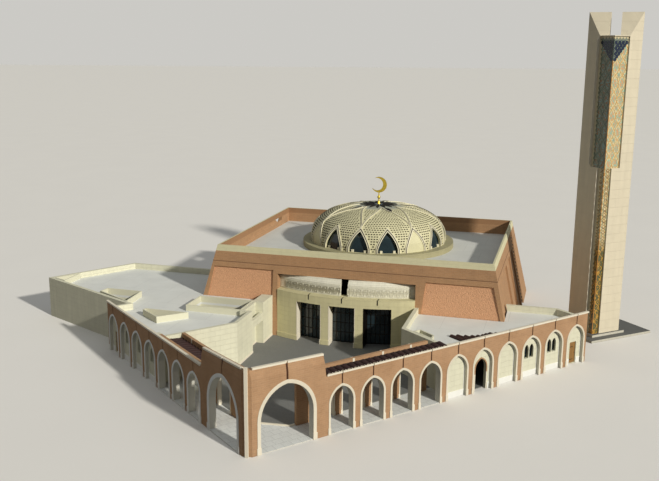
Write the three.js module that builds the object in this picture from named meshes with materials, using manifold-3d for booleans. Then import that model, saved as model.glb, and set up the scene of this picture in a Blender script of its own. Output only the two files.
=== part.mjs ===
// A mosque: two arcades that meet at a raised corner, two low wings, a battered prayer hall
// with a shallow dome, and a square minaret. Half size (1:2), in millimetres, +Z up.
// The origin is under the middle of the post at the corner where the two arcades meet: +X runs
// along the right arcade, +Y along the left arcade.
import * as THREE from 'three';
import { mergeVertices } from 'three/addons/utils/BufferGeometryUtils.js';
import Module from 'manifold-3d';

const wasm = await Module();
wasm.setup();

// Clearance between a cut piece and its neighbour
const GAP = 0.4;
// How far a cutting shape reaches past the face that it cuts, and past the whole building
const PAST = 1;
const FAR = 4000;
// How far wings and floors run into the hall's form before its outline cuts them
const IN_HALL = 400;

// Arcades
const BAY = 1800;
const RIGHT_CORNER_BAY = 4210;
const LEFT_CORNER_BAY = 4270;
const RIGHT_OPEN_BAYS = 4;
const RIGHT_BAYS = 10;
const LEFT_OPEN_BAYS = 3;
const LEFT_BAYS = 7;
const WALL_THICKNESS = 360;
const SCREEN_THICKNESS = 180;
const WALL_TOP = 2930;
const COPING_HEIGHT = 90;
const COPING_OVERHANG = 45;
const COPING_NOTCH = { width: 45, depth: 60 };
const COPING_BACK = 100;
const RIGHT_START = RIGHT_CORNER_BAY;
const RIGHT_OPEN_END = RIGHT_START + RIGHT_OPEN_BAYS * BAY;
const RIGHT_END = RIGHT_START + RIGHT_BAYS * BAY;
const LEFT_START = LEFT_CORNER_BAY;
const LEFT_OPEN_END = LEFT_START + LEFT_OPEN_BAYS * BAY;
const LEFT_END = LEFT_START + LEFT_BAYS * BAY;

// Arches: half width, height of the springing, height of the point
const SMALL_ARCH = { half: 650, spring: 1490, apex: 2310 };
const INNER_ARCH = { half: 650, spring: 1490, apex: 2230 };
const BIG_ARCH = { half: 1390, spring: 1520, apex: 3080 };
const SLIT_WIDTH = 75;
const SLIT_DEPTH = 90;
const ARCH_STEPS = 7;

// Raised corner bay
const CORNER_TOP = 4020;
const CORNER_TOP_RIGHT_END = 3950;
const CORNER_TOP_LEFT_END = 3810;
const CORNER_END_LEAN = 120;
const CORNER_BAND_DROP = 430;
const CORNER_BAND_LEAN = 80;
const BIG_ARCH_CENTRE = 2145;
const BIG_SLIT_WIDTH = 100;
const BIG_NOTCH_DEPTH = 110;
const POST_SEAT = 340;
const COPING_FROM_POST = 70;
const POST_FRONT = 150;
const POST_SPREAD = 100;
const POST_RISE = 60;

// Inner arcades and the tiled roofs over the walks
const INNER_FACE = 1620;
const INNER_BACK = 1800;
const INNER_TOP = { right: 2760, left: 2660 };
const RIGHT_INNER_START = 3620;
const RIGHT_INNER_END = 11650;
const RIGHT_BED_END = 11530;
const LEFT_INNER_START = 3680;
const RIGHT_BED = { coping: 3010, wall: 2960, inner: 2400, thickness: 80 };
const LEFT_BED = { wall: 2450, inner: 2330, thickness: 80 };

// Wings
const RIGHT_COURT_X = 12050;
const LEFT_COURT_Y = 9990;
const WING_WALL = 220;
const WING_TOP = 2630;
const WING_ROOF = { low: 2150, high: 2250 };
const RIGHT_COURT_U = 12562;
const LEFT_COURT_U = 3640;
const RIGHT_BACK_V = 2300;
const WELL_WALL = 80;
const WELL_TOP = 2640;
const WELL_FOOT = 1900;
const RIGHT_WELL = [[12271, 3560], [12790, 3560], [12760, 2400], [12271, 2000]];
const LEFT_WELLS = [
  [[1530, 15210], [1764, 15318], [3510, 13230], [1620, 13410]],
  [[790, 20340], [1410, 20750], [2970, 18910], [1350, 17300]],
  [[-630, 25080], [1150, 25260], [-310, 23990]],
];
const COURT_WELL = { from: -3600, to: -1560, left: -560 };
const LEFT_WING_BACK_V = 4000;
const WING_END_U = 200;
const LEFT_OUTER_START_X = 1220;
const LEFT_CORNER_P2 = [-936, 25344];
const LEFT_CORNER_P3_UV = [-8453, 4778];
const ALCOVE = { from: -3560, to: -1780, depth: 480 };
const ALCOVE_BEAM = { bottom: 1550, top: 2020, depth: 200 };

// Openings in the closed bays
const LANCET = { half: 160, spring: 1560, apex: 1850, sill: 1060, offset: 190 };
const BAY6_DOORWAY = { half: 400, spring: 1210, apex: 1760 };
const PANE = { thickness: 12, bottom: 1000, top: 1910, beyond: 356 };
const DOOR = { half: 260, sill: 40, height: 1300, leaf: 60, gap: 6, pin: 14 };

// Floors
const WALK_FLOOR = 40;
const COURT_FLOOR = 70;
const KERB = { line: 1818, corner: 3366 };

// Prayer hall, in its own frame: u along the front to the right, v towards the back
const HALL_ORIGIN = [7138, 16571];
const HALL_TURN = THREE.MathUtils.degToRad(-50);
const HALL_WIDTH = 17060;
const HALL_DEPTH = 13720;
const HALL_HEIGHT = 5580;
const BATTER = { left: 1700, right: 1220, front: 160, back: 1700 };
const HALL_WALL = { left: 520, right: 520, front: 700, back: 500 };
const BAND_BOTTOM = 4014;
const PARAPET_BOTTOM = 5200;
const PARAPET_WIDTH = 110;
const HALL_ROOF = { low: 4420, high: 4540 };
const RECESS = { left: 3960, right: 12562 };
const PANEL = { top: 4215, depth: 150, lean: 110 };
// The two ends of each front panel at its foot and at its top
const PANEL_ENDS = {
  left: { foot: [-1270, 3500], top: [-240, 3680] },
  right: { foot: [12640, 18100], top: [13160, 17090] },
};
const SIDE_PANELS = [
  { from: 630, to: 5760, top: PANEL.top, depth: 120 },
  { from: 6840, to: 8280, top: PANEL.top, depth: 120 },
  { from: 9360, to: 10440, top: PANEL.top, depth: 120 },
  { from: 10900, to: 11980, top: PARAPET_BOTTOM, depth: 300 },
];

// Curved entrance wall
const ENTRANCE_MIDDLE = 8316;
const ENTRANCE_RADIUS = 10990;
const ENTRANCE_FRONT = -1044;
const ENTRANCE_DEPTH = 900;
const ENTRANCE_TOP = 3060;
const ENTRANCE_REACH = 2000;
const ENTRANCE_SEGMENTS = 120;
const LEDGE_DEPTH = 540;
const BAND_SHOULDER = 3780;
const BAND_SLOT = 480;
const BAND_TOP_DEPTH = 200;
const GLAZING = 40;
const PORTAL = { width: 1640, height: 2540, pitch: 2130, slot: 80, slotBottom: 2760, slotBack: 520 };

// Dome
const DOME_CENTRE = [8500, 7800];
const DOME_RING = { outer: 5110, inner: 4200, top: 4900 };
const DOME = { radius: 4580, rise: 2400, power: 2.6, shell: 130, segments: 60, steps: 10 };
const DOME_WINDOWS = 15;
const DOME_FIRST_WINDOW = THREE.MathUtils.degToRad(-93.3);
const DOME_BLANK_WINDOWS = [2, 13];
const DOME_WINDOW = { half: 640, sill: 0.5, spring: 260, apex: 1330, radius: 2300 };
const DOME_GLASS = { thickness: 40, behind: 8 };
const FINIAL = {
  profile: [[0, 0], [150, 0], [60, 260], [45, 420], [110, 520], [110, 560], [40, 680], [40, 900], [0, 920]],
  sunk: 60,
  segments: 16,
};
const CRESCENT = { outer: 530, inner: 430, half: 45, shift: 150, centre: 8630 };
const CRESCENT_TURN = THREE.MathUtils.degToRad(167);

// Minaret
const MINARET_CENTRE = [26993, 3323];
const MINARET_TURN = THREE.MathUtils.degToRad(-8);
const MINARET_SIDE = 2200;
const MINARET_TOP = 19800;
const CROWN_LEDGE = 18430;
const CROWN_CUT = 1200;
const CROWN_SLOT = 620;
const MOSAIC_WIDE = 1200;
const MOSAIC_NARROW = 560;
const MOSAIC_STEP = 10660;
const MOSAIC_RECESS = 130;
const MOSAIC_THICKNESS = 45;
const MOSAIC_LIP = 40;
const PLINTH_STEP = 145;
const UPPER_PLINTH = { left: 1210, right: 1400, front: 1260, back: 1260 };
const LOWER_PLINTH = { left: 1700, right: 3200, front: 1760, back: 2350 };

// Finishes
const finish = (color, roughness, metalness = 0) =>
  new THREE.MeshStandardMaterial({ color, roughness, metalness });
const MASONRY = finish('#b3835f', 0.9);
const ROUGH_MASONRY = finish('#c08f6c', 0.95);
const CREAM_STONE = finish('#cfc9a2', 0.8);
const PALE_STONE = finish('#d8cbaa', 0.75);
const WHITE_ROOF = finish('#c9c9c5', 0.85);
const GREY_PAVING = finish('#8c8d8a', 0.85);
const TILE = finish('#4a211b', 0.7);
const DARK_GLASS = finish('#20262b', 0.15);
const MOSAIC = finish('#5f7f6f', 0.35);
const WOOD = finish('#a5773f', 0.6);
const GOLD = finish('#c9a23a', 0.3, 0.9);
const GREY_STONE = finish('#6d6f6e', 0.8);

// Pieces are placed from the corner where the outer faces meet; the group moves the post's foot
// to the origin
const mosque = new THREE.Group();
const postMiddle = (POST_FRONT + POST_SEAT - 2 * GAP) / 4;
mosque.position.set(-postMiddle, -postMiddle, 0);
const hall = new THREE.Group();
hall.position.set(HALL_ORIGIN[0], HALL_ORIGIN[1], 0);
hall.rotation.z = HALL_TURN;
mosque.add(hall);
const minaret = new THREE.Group();
minaret.position.set(MINARET_CENTRE[0], MINARET_CENTRE[1], 0);
minaret.rotation.z = MINARET_TURN;
mosque.add(minaret);

function addPiece(parent, name, geometry, material) {
  const mesh = new THREE.Mesh(geometry, material);
  mesh.name = name;
  parent.add(mesh);
}

// Conversions between three.js geometry and solids for joining and cutting
function toSolid(geometry) {
  const bare = geometry.clone();
  bare.deleteAttribute('normal');
  bare.deleteAttribute('uv');
  const merged = mergeVertices(bare);
  return new wasm.Manifold(new wasm.Mesh({
    numProp: 3,
    vertProperties: Float32Array.from(merged.attributes.position.array),
    triVerts: Uint32Array.from(merged.index.array),
  }));
}

function toGeometry(solid) {
  const mesh = solid.getMesh();
  const geometry = new THREE.BufferGeometry();
  geometry.setAttribute('position', new THREE.BufferAttribute(Float32Array.from(mesh.vertProperties), 3));
  geometry.setIndex(new THREE.BufferAttribute(Uint32Array.from(mesh.triVerts), 1));
  return geometry;
}

function cut(geometry, ...cutters) {
  let solid = toSolid(geometry);
  for (const cutter of cutters) solid = solid.subtract(toSolid(cutter));
  return toGeometry(solid);
}

function common(geometry, ...others) {
  let solid = toSolid(geometry);
  for (const other of others) solid = solid.intersect(toSolid(other));
  return toGeometry(solid);
}

function join(geometry, ...others) {
  let solid = toSolid(geometry);
  for (const other of others) solid = solid.add(toSolid(other));
  return toGeometry(solid);
}

// Shapes
const shapeOf = (points) => new THREE.Shape(points.map(([x, y]) => new THREE.Vector2(x, y)));

function box(x0, x1, y0, y1, z0, z1) {
  const geometry = new THREE.BoxGeometry(x1 - x0, y1 - y0, z1 - z0);
  return geometry.translate((x0 + x1) / 2, (y0 + y1) / 2, (z0 + z1) / 2);
}

function prism(points, z0, z1) {
  const geometry = new THREE.ExtrudeGeometry(shapeOf(points), { depth: z1 - z0, bevelEnabled: false });
  return geometry.translate(0, 0, z0);
}

// A box whose bottom and top are different rectangles: [x0, x1, y0, y1]
function taperedBox(bottom, top, z0, z1) {
  const geometry = new THREE.BoxGeometry(1, 1, 1);
  const position = geometry.attributes.position;
  for (let i = 0; i < position.count; i += 1) {
    const rect = position.getZ(i) > 0 ? top : bottom;
    const x = position.getX(i) > 0 ? rect[1] : rect[0];
    const y = position.getY(i) > 0 ? rect[3] : rect[2];
    position.setXYZ(i, x, y, position.getZ(i) > 0 ? z1 : z0);
  }
  return geometry;
}

const ALONG_X = new THREE.Matrix4().makeBasis(
  new THREE.Vector3(1, 0, 0), new THREE.Vector3(0, 0, 1), new THREE.Vector3(0, -1, 0));
const ALONG_Y = new THREE.Matrix4().makeBasis(
  new THREE.Vector3(0, 1, 0), new THREE.Vector3(0, 0, 1), new THREE.Vector3(1, 0, 0));

// A wall drawn in elevation, along +X (thick from y0 to y1) or along +Y (thick from x0 to x1)
function wallAlongX(shape, y0, y1) {
  const geometry = new THREE.ExtrudeGeometry(shape, { depth: y1 - y0, bevelEnabled: false });
  return geometry.applyMatrix4(ALONG_X).translate(0, y1, 0);
}

function wallAlongY(shape, x0, x1) {
  const geometry = new THREE.ExtrudeGeometry(shape, { depth: x1 - x0, bevelEnabled: false });
  return geometry.applyMatrix4(ALONG_Y).translate(x0, 0, 0);
}

// A run along +X (or +Y) whose cross-section is drawn as [distance from the outer face, height]
const wallAlongXProfile = (shape, x0, x1) => wallAlongY(shape, x0, x1);
const wallAlongYProfile = (shape, y0, y1) => wallAlongX(shape, y0, y1);

// A two-centred pointed arch from its left foot to its right foot. Its arcs start upright at the
// springing, or have the arch's own radius where it states one
function archPoints(centre, arch, foot) {
  const rise = arch.apex - arch.spring;
  const chord = Math.hypot(rise, arch.half);
  const radius = arch.radius ?? chord ** 2 / (2 * arch.half);
  const back = Math.sqrt(radius ** 2 - chord ** 2 / 4) / chord;
  const hub = [arch.half / 2 - rise * back, (arch.spring + arch.apex) / 2 - arch.half * back];
  const from = Math.atan2(arch.spring - hub[1], arch.half - hub[0]);
  const to = Math.atan2(arch.apex - hub[1], -hub[0]);
  const side = [[arch.half, arch.spring]];
  for (let i = 1; i < ARCH_STEPS; i += 1) {
    const angle = from + ((to - from) * i) / ARCH_STEPS;
    side.push([hub[0] + radius * Math.cos(angle), hub[1] + radius * Math.sin(angle)]);
  }
  return [
    [centre - arch.half, foot],
    ...side.map(([x, z]) => [centre - x, z]),
    [centre, arch.apex],
    ...side.reverse().map(([x, z]) => [centre + x, z]),
    [centre + arch.half, foot],
  ];
}

// The elevation of a wall from start to end with arches that reach the ground
function arcadeShape(start, end, top, centres, arch) {
  const points = [[start, 0]];
  for (const centre of centres) points.push(...archPoints(centre, arch, 0));
  points.push([end, 0], [end, top], [start, top]);
  return shapeOf(points);
}

function bayCentres(start, first, last) {
  const centres = [];
  for (let bay = first; bay <= last; bay += 1) centres.push(start + (bay - 0.5) * BAY);
  return centres;
}

// Narrow slits from the coping down to the point of each arch, cut in the outer face
const slitsAlongX = (centres, width, bottom, top) =>
  centres.map((c) => box(c - width / 2, c + width / 2, -PAST, SLIT_DEPTH, bottom, top + PAST));
const slitsAlongY = (centres, width, bottom, top) =>
  centres.map((c) => box(-PAST, SLIT_DEPTH, c - width / 2, c + width / 2, bottom, top + PAST));

// Hall frame to world and back
const toWorld = ([u, v]) => {
  const point = new THREE.Vector2(u, v).rotateAround(new THREE.Vector2(0, 0), HALL_TURN);
  return [point.x + HALL_ORIGIN[0], point.y + HALL_ORIGIN[1]];
};
const hallMatrix = new THREE.Matrix4()
  .makeRotationZ(HALL_TURN)
  .setPosition(HALL_ORIGIN[0], HALL_ORIGIN[1], 0);

// Where the line x = value or y = value meets the hall line u = value
function meetX(x, u) {
  const v = (x - toWorld([u, 0])[0]) / (toWorld([u, 1])[0] - toWorld([u, 0])[0]);
  return toWorld([u, v]);
}
function meetY(y, u) {
  const v = (y - toWorld([u, 0])[1]) / (toWorld([u, 1])[1] - toWorld([u, 0])[1]);
  return toWorld([u, v]);
}

// The battered outer form of the hall, grown by a margin
function hallForm(margin, z0 = 0, z1 = HALL_HEIGHT) {
  const at = (z) => 1 - z / HALL_HEIGHT;
  const rect = (z) => [
    -BATTER.left * at(z) - margin,
    HALL_WIDTH + BATTER.right * at(z) + margin,
    -BATTER.front * at(z) - margin,
    HALL_DEPTH + BATTER.back * at(z) + margin,
  ];
  return taperedBox(rect(z0), rect(z1), z0, z1);
}
const hallOutline = hallForm(GAP, -PAST, HALL_HEIGHT).applyMatrix4(hallMatrix);

// Raised corner bay: two walls mitred at the corner, with the corner cut off for the post
function cornerElevation(wallEnd, topAtEnd) {
  return shapeOf([
    [0, 0],
    ...archPoints(BIG_ARCH_CENTRE, BIG_ARCH, 0),
    [wallEnd, 0],
    [wallEnd, WALL_TOP],
    [wallEnd - CORNER_END_LEAN, topAtEnd],
    [0, CORNER_TOP],
  ]);
}

function addCornerBay() {
  const above = CORNER_TOP + COPING_HEIGHT;
  const out = -COPING_OVERHANG;
  const seat = prism([[out, out], [POST_SEAT - out, out], [out, POST_SEAT - out]], -PAST, above);
  const lean = shapeOf([
    [-PAST, CORNER_TOP - CORNER_BAND_DROP],
    [CORNER_BAND_LEAN, CORNER_TOP + PAST],
    [-PAST, CORNER_TOP + PAST],
  ]);
  const centres = [BIG_ARCH_CENTRE];
  const slitBottom = BIG_ARCH.apex - BIG_SLIT_WIDTH / 10;
  const reach = WALL_THICKNESS + PAST;

  const rightMitre = prism([[-PAST, -PAST - GAP], [reach, reach - GAP], [-PAST, reach]], -PAST, above);
  addPiece(mosque, 'corner_wall_right', cut(
    wallAlongX(cornerElevation(RIGHT_START, CORNER_TOP_RIGHT_END), 0, WALL_THICKNESS),
    rightMitre, seat, wallAlongXProfile(lean, -PAST, RIGHT_START + PAST),
    ...slitsAlongX(centres, BIG_SLIT_WIDTH, slitBottom, CORNER_TOP)), MASONRY);

  const leftMitre = prism([[-PAST - GAP, -PAST], [reach, -PAST], [reach - GAP, reach]], -PAST, above);
  addPiece(mosque, 'corner_wall_left', cut(
    wallAlongY(cornerElevation(LEFT_START, CORNER_TOP_LEFT_END), 0, WALL_THICKNESS),
    leftMitre, seat, wallAlongYProfile(lean, -PAST, LEFT_START + PAST),
    ...slitsAlongY(centres, BIG_SLIT_WIDTH, slitBottom, CORNER_TOP)), MASONRY);

  const across = (sum, difference) => [(sum + difference) / 2, (sum - difference) / 2];
  addPiece(mosque, 'corner_post', prism([
    across(POST_FRONT, POST_SPREAD), across(POST_SEAT - 2 * GAP, POST_SPREAD),
    across(POST_SEAT - 2 * GAP, -POST_SPREAD), across(POST_FRONT, -POST_SPREAD),
  ], 0, CORNER_TOP + COPING_HEIGHT + POST_RISE), CREAM_STONE);
}

// Copings: a slab on the wall, notched at each bay
function sloping(geometry, along, start, end, zStart, zEnd) {
  const position = geometry.attributes.position;
  for (let i = 0; i < position.count; i += 1) {
    const at = along === 'x' ? position.getX(i) : position.getY(i);
    position.setZ(i, position.getZ(i) + zStart + ((at - start) / (end - start)) * (zEnd - zStart));
  }
  return geometry;
}

// The plan of a coping along the front edge of the wall
function copingPlan(start, end, notches) {
  const outer = -COPING_OVERHANG;
  const half = COPING_NOTCH.width / 2;
  const points = [[start, outer]];
  for (const notch of notches) {
    points.push([notch - half, outer], [notch - half, COPING_NOTCH.depth]);
    points.push([notch + half, COPING_NOTCH.depth], [notch + half, outer]);
  }
  points.push([end, outer], [end, COPING_BACK], [start, COPING_BACK]);
  return points;
}
const swapped = (points) => points.map(([x, y]) => [y, x]);

function cornerCopingPlan(start, end) {
  const outer = CORNER_BAND_LEAN - COPING_OVERHANG;
  const inner = CORNER_BAND_LEAN + COPING_BACK;
  const from = BIG_ARCH_CENTRE - BIG_SLIT_WIDTH / 2;
  const to = BIG_ARCH_CENTRE + BIG_SLIT_WIDTH / 2;
  return [
    [start, outer], [from, outer], [from, BIG_NOTCH_DEPTH], [to, BIG_NOTCH_DEPTH], [to, outer],
    [end, outer], [end, inner], [start, inner],
  ];
}

function addCopings() {
  const top = WALL_TOP + COPING_HEIGHT;
  const over = COPING_OVERHANG;
  const rightBays = bayCentres(RIGHT_START, 1, RIGHT_BAYS);
  const leftBays = bayCentres(LEFT_START, 1, LEFT_BAYS);
  const right = copingPlan(RIGHT_START + over, RIGHT_END + over, rightBays);
  const left = copingPlan(LEFT_START + over, LEFT_END + over, leftBays);
  addPiece(mosque, 'right_coping', prism(right, WALL_TOP, top), CREAM_STONE);
  addPiece(mosque, 'left_coping', prism(swapped(left), WALL_TOP, top), CREAM_STONE);
  const first = POST_SEAT + COPING_FROM_POST;
  const rightEnd = RIGHT_START - CORNER_END_LEAN;
  const leftEnd = LEFT_START - CORNER_END_LEAN;
  const seatLevel = (end, endTop) => CORNER_TOP + (first / end) * (endTop - CORNER_TOP) + GAP;
  addPiece(mosque, 'corner_coping_right', sloping(
    prism(cornerCopingPlan(first, rightEnd), 0, COPING_HEIGHT), 'x', first, rightEnd,
    seatLevel(rightEnd, CORNER_TOP_RIGHT_END), CORNER_TOP_RIGHT_END + GAP), CREAM_STONE);
  addPiece(mosque, 'corner_coping_left', sloping(
    prism(swapped(cornerCopingPlan(first, leftEnd)), 0, COPING_HEIGHT), 'y', first, leftEnd,
    seatLevel(leftEnd, CORNER_TOP_LEFT_END), CORNER_TOP_LEFT_END + GAP), CREAM_STONE);
}

// Outer walls of the arcades: open bays at full thickness, closed bays as a thinner screen
function addArcades() {
  const top = WALL_TOP;
  const slitBottom = SMALL_ARCH.apex - SLIT_WIDTH / 10;
  const rightOpen = bayCentres(RIGHT_START, 1, RIGHT_OPEN_BAYS);
  const rightClosed = bayCentres(RIGHT_START, RIGHT_OPEN_BAYS + 1, RIGHT_BAYS);
  const leftOpen = bayCentres(LEFT_START, 1, LEFT_OPEN_BAYS);
  const leftClosed = bayCentres(LEFT_START, LEFT_OPEN_BAYS + 1, LEFT_BAYS);
  const rightWall = join(
    wallAlongX(arcadeShape(RIGHT_START, RIGHT_OPEN_END, top, rightOpen, SMALL_ARCH), 0, WALL_THICKNESS),
    wallAlongX(arcadeShape(RIGHT_OPEN_END, RIGHT_END, top, rightClosed, SMALL_ARCH), 0, SCREEN_THICKNESS));
  const leftWall = join(
    wallAlongY(arcadeShape(LEFT_START, LEFT_OPEN_END, top, leftOpen, SMALL_ARCH), 0, WALL_THICKNESS),
    wallAlongY(arcadeShape(LEFT_OPEN_END, LEFT_END, top, leftClosed, SMALL_ARCH), 0, SCREEN_THICKNESS));
  addPiece(mosque, 'right_arcade_wall', cut(rightWall,
    ...slitsAlongX([...rightOpen, ...rightClosed], SLIT_WIDTH, slitBottom, top)), MASONRY);
  addPiece(mosque, 'left_arcade_wall', cut(leftWall,
    ...slitsAlongY([...leftOpen, ...leftClosed], SLIT_WIDTH, slitBottom, top)), MASONRY);
}

// Inner arcades between the walks and the court, and the beds of the tiled roofs, which slope down
// to the inner arcade. The right bed lies on the outer wall behind its coping, and the left one is
// let in lower, between the two walls
const rightBed = shapeOf([
  [COPING_BACK, WALL_TOP], [WALL_THICKNESS, WALL_TOP], [WALL_THICKNESS, RIGHT_BED.wall - RIGHT_BED.thickness],
  [INNER_FACE, RIGHT_BED.inner - RIGHT_BED.thickness], [INNER_FACE, RIGHT_BED.inner],
  [WALL_THICKNESS, RIGHT_BED.wall], [COPING_BACK, RIGHT_BED.coping],
]);
const leftBed = shapeOf([
  [WALL_THICKNESS, LEFT_BED.wall - LEFT_BED.thickness], [INNER_FACE, LEFT_BED.inner - LEFT_BED.thickness],
  [INNER_FACE, LEFT_BED.inner], [WALL_THICKNESS, LEFT_BED.wall],
]);

function addInnerArcades() {
  const right = bayCentres(RIGHT_START, 1, RIGHT_OPEN_BAYS);
  const left = bayCentres(LEFT_START, 1, LEFT_OPEN_BAYS);
  addPiece(mosque, 'right_inner_arcade', wallAlongX(
    arcadeShape(RIGHT_INNER_START, RIGHT_INNER_END, INNER_TOP.right, right, INNER_ARCH),
    INNER_FACE, INNER_BACK), MASONRY);
  addPiece(mosque, 'left_inner_arcade', wallAlongY(
    arcadeShape(LEFT_INNER_START, LEFT_COURT_Y, INNER_TOP.left, left, INNER_ARCH),
    INNER_FACE, INNER_BACK), MASONRY);
  addPiece(mosque, 'right_walk_roof', wallAlongXProfile(rightBed, RIGHT_START, RIGHT_BED_END), TILE);
  addPiece(mosque, 'left_walk_roof', wallAlongYProfile(leftBed, LEFT_START, LEFT_COURT_Y), TILE);
}

// Backing walls of the closed bays, with the windows and doorways cut through
function lancetPairs(centres, extrude) {
  return centres.flatMap((centre) => [-1, 1].map((side) => extrude(
    shapeOf(archPoints(centre + side * LANCET.offset, LANCET, LANCET.sill)),
    SCREEN_THICKNESS - PAST, WALL_THICKNESS + PAST)));
}

// As high as the screen beside the walk, and lower behind it, where the wing's roof follows
const backingShape = (start, walkEnd, end, notch) => shapeOf([
  [start, 0], ...notch, [end, 0], [end, WING_TOP],
  [walkEnd, WING_TOP], [walkEnd, WALL_TOP], [start, WALL_TOP],
]);

const doorway = (centre, extrude) => extrude(shapeOf([
  [centre - DOOR.half, DOOR.sill], [centre + DOOR.half, DOOR.sill],
  [centre + DOOR.half, DOOR.height], [centre - DOOR.half, DOOR.height],
]), SCREEN_THICKNESS - PAST, WALL_THICKNESS + PAST);

function addBackingWalls() {
  const right = bayCentres(RIGHT_START, 1, RIGHT_BAYS);
  const left = bayCentres(LEFT_START, 1, LEFT_BAYS);
  const doorwayArch = archPoints(right[5], BAY6_DOORWAY, 0);
  addPiece(mosque, 'right_wing_front_wall', cut(
    wallAlongX(backingShape(RIGHT_OPEN_END, RIGHT_COURT_X, RIGHT_END, doorwayArch),
      SCREEN_THICKNESS, WALL_THICKNESS),
    doorway(right[9], wallAlongX), ...lancetPairs([right[7], right[8]], wallAlongX)), CREAM_STONE);
  addPiece(mosque, 'left_wing_front_wall', cut(
    wallAlongY(backingShape(LEFT_OPEN_END, LEFT_COURT_Y, LEFT_END, []), SCREEN_THICKNESS, WALL_THICKNESS),
    doorway(left[6], wallAlongY), ...lancetPairs([left[3], left[4], left[5]], wallAlongY)), CREAM_STONE);

  const inner = WALL_THICKNESS + GAP;
  const outer = inner + PANE.thickness;
  addPiece(mosque, 'right_window_glass', box(right[7] - PANE.beyond, right[8] + PANE.beyond,
    inner, outer, PANE.bottom, PANE.top), DARK_GLASS);
  addPiece(mosque, 'left_window_glass', box(inner, outer,
    left[3] - PANE.beyond, left[5] + PANE.beyond, PANE.bottom, PANE.top), DARK_GLASS);
}

// A door leaf with a round heel about its pivot, and pivot pins that reach sill and lintel
function doorLeaf() {
  const r = DOOR.leaf / 2;
  const free = 2 * (DOOR.half - DOOR.gap) - r;
  const plan = new THREE.Shape();
  plan.absarc(0, 0, r, Math.PI / 2, 1.5 * Math.PI);
  plan.lineTo(free, -r);
  plan.lineTo(free, r);
  const bottom = DOOR.sill + DOOR.gap;
  const leaf = new THREE.ExtrudeGeometry(plan,
    { depth: DOOR.height - DOOR.gap - bottom, bevelEnabled: false, curveSegments: 8 });
  const pin = new THREE.CylinderGeometry(DOOR.pin, DOOR.pin, DOOR.height - DOOR.sill - 2 * GAP, 12);
  pin.rotateX(Math.PI / 2).translate(0, 0, (DOOR.height + DOOR.sill) / 2);
  return join(leaf.translate(0, 0, bottom), pin);
}

function addDoors() {
  const right = bayCentres(RIGHT_START, 1, RIGHT_BAYS)[9];
  const left = bayCentres(LEFT_START, 1, LEFT_BAYS)[6];
  const middle = (SCREEN_THICKNESS + WALL_THICKNESS) / 2;
  const fromCentre = -DOOR.half + DOOR.gap + DOOR.leaf / 2;
  addPiece(mosque, 'right_door', doorLeaf().translate(right + fromCentre, middle, 0), WOOD);
  const turnedLeaf = doorLeaf().rotateZ(Math.PI / 2);
  addPiece(mosque, 'left_door', turnedLeaf.translate(middle, left + fromCentre, 0), WOOD);
}

// Wings
function addRightWing() {
  const turn = meetX(RIGHT_COURT_X, RIGHT_COURT_U);
  const innerTurn = meetX(RIGHT_COURT_X + WING_WALL, RIGHT_COURT_U + WING_WALL);
  addPiece(mosque, 'right_wing_court_wall', cut(prism([
    [RIGHT_COURT_X, WALL_THICKNESS], [RIGHT_COURT_X + WING_WALL, WALL_THICKNESS], innerTurn,
    toWorld([RIGHT_COURT_U + WING_WALL, IN_HALL]), toWorld([RIGHT_COURT_U, IN_HALL]), turn,
  ], 0, WING_TOP), hallOutline), CREAM_STONE);

  const endX = RIGHT_END - WING_WALL;
  const backAt = (x, v) => {
    const start = toWorld([0, v]);
    const step = toWorld([1, v]);
    const u = (x - start[0]) / (step[0] - start[0]);
    return toWorld([u, v]);
  };
  const outerCorner = backAt(RIGHT_END, RIGHT_BACK_V);
  const innerCorner = backAt(endX, RIGHT_BACK_V - WING_WALL);
  const endU = HALL_WIDTH - WING_END_U;
  addPiece(mosque, 'right_wing_outer_wall', cut(prism([
    [endX, WALL_THICKNESS], [RIGHT_END, WALL_THICKNESS], outerCorner,
    toWorld([endU, RIGHT_BACK_V]), toWorld([endU, RIGHT_BACK_V - WING_WALL]), innerCorner,
  ], 0, WING_TOP), hallOutline), CREAM_STONE);

  const inside = (z0, z1) => cut(prism([
    [RIGHT_COURT_X + WING_WALL, WALL_THICKNESS], [endX, WALL_THICKNESS],
    [endX, innerCorner[1] - GAP],
    toWorld([endU, RIGHT_BACK_V - WING_WALL - GAP]),
    toWorld([endU, IN_HALL]), toWorld([RIGHT_COURT_U + WING_WALL + GAP, IN_HALL]),
    [innerTurn[0] + GAP, innerTurn[1]], [RIGHT_COURT_X + WING_WALL, innerTurn[1] - GAP],
  ], z0, z1), hallOutline);
  addRoof('right_wing_roof', inside(WING_ROOF.low, WING_ROOF.high), [RIGHT_WELL]);
  addPiece(mosque, 'right_wing_floor', inside(0, WALK_FLOOR), GREY_PAVING);
}

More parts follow.
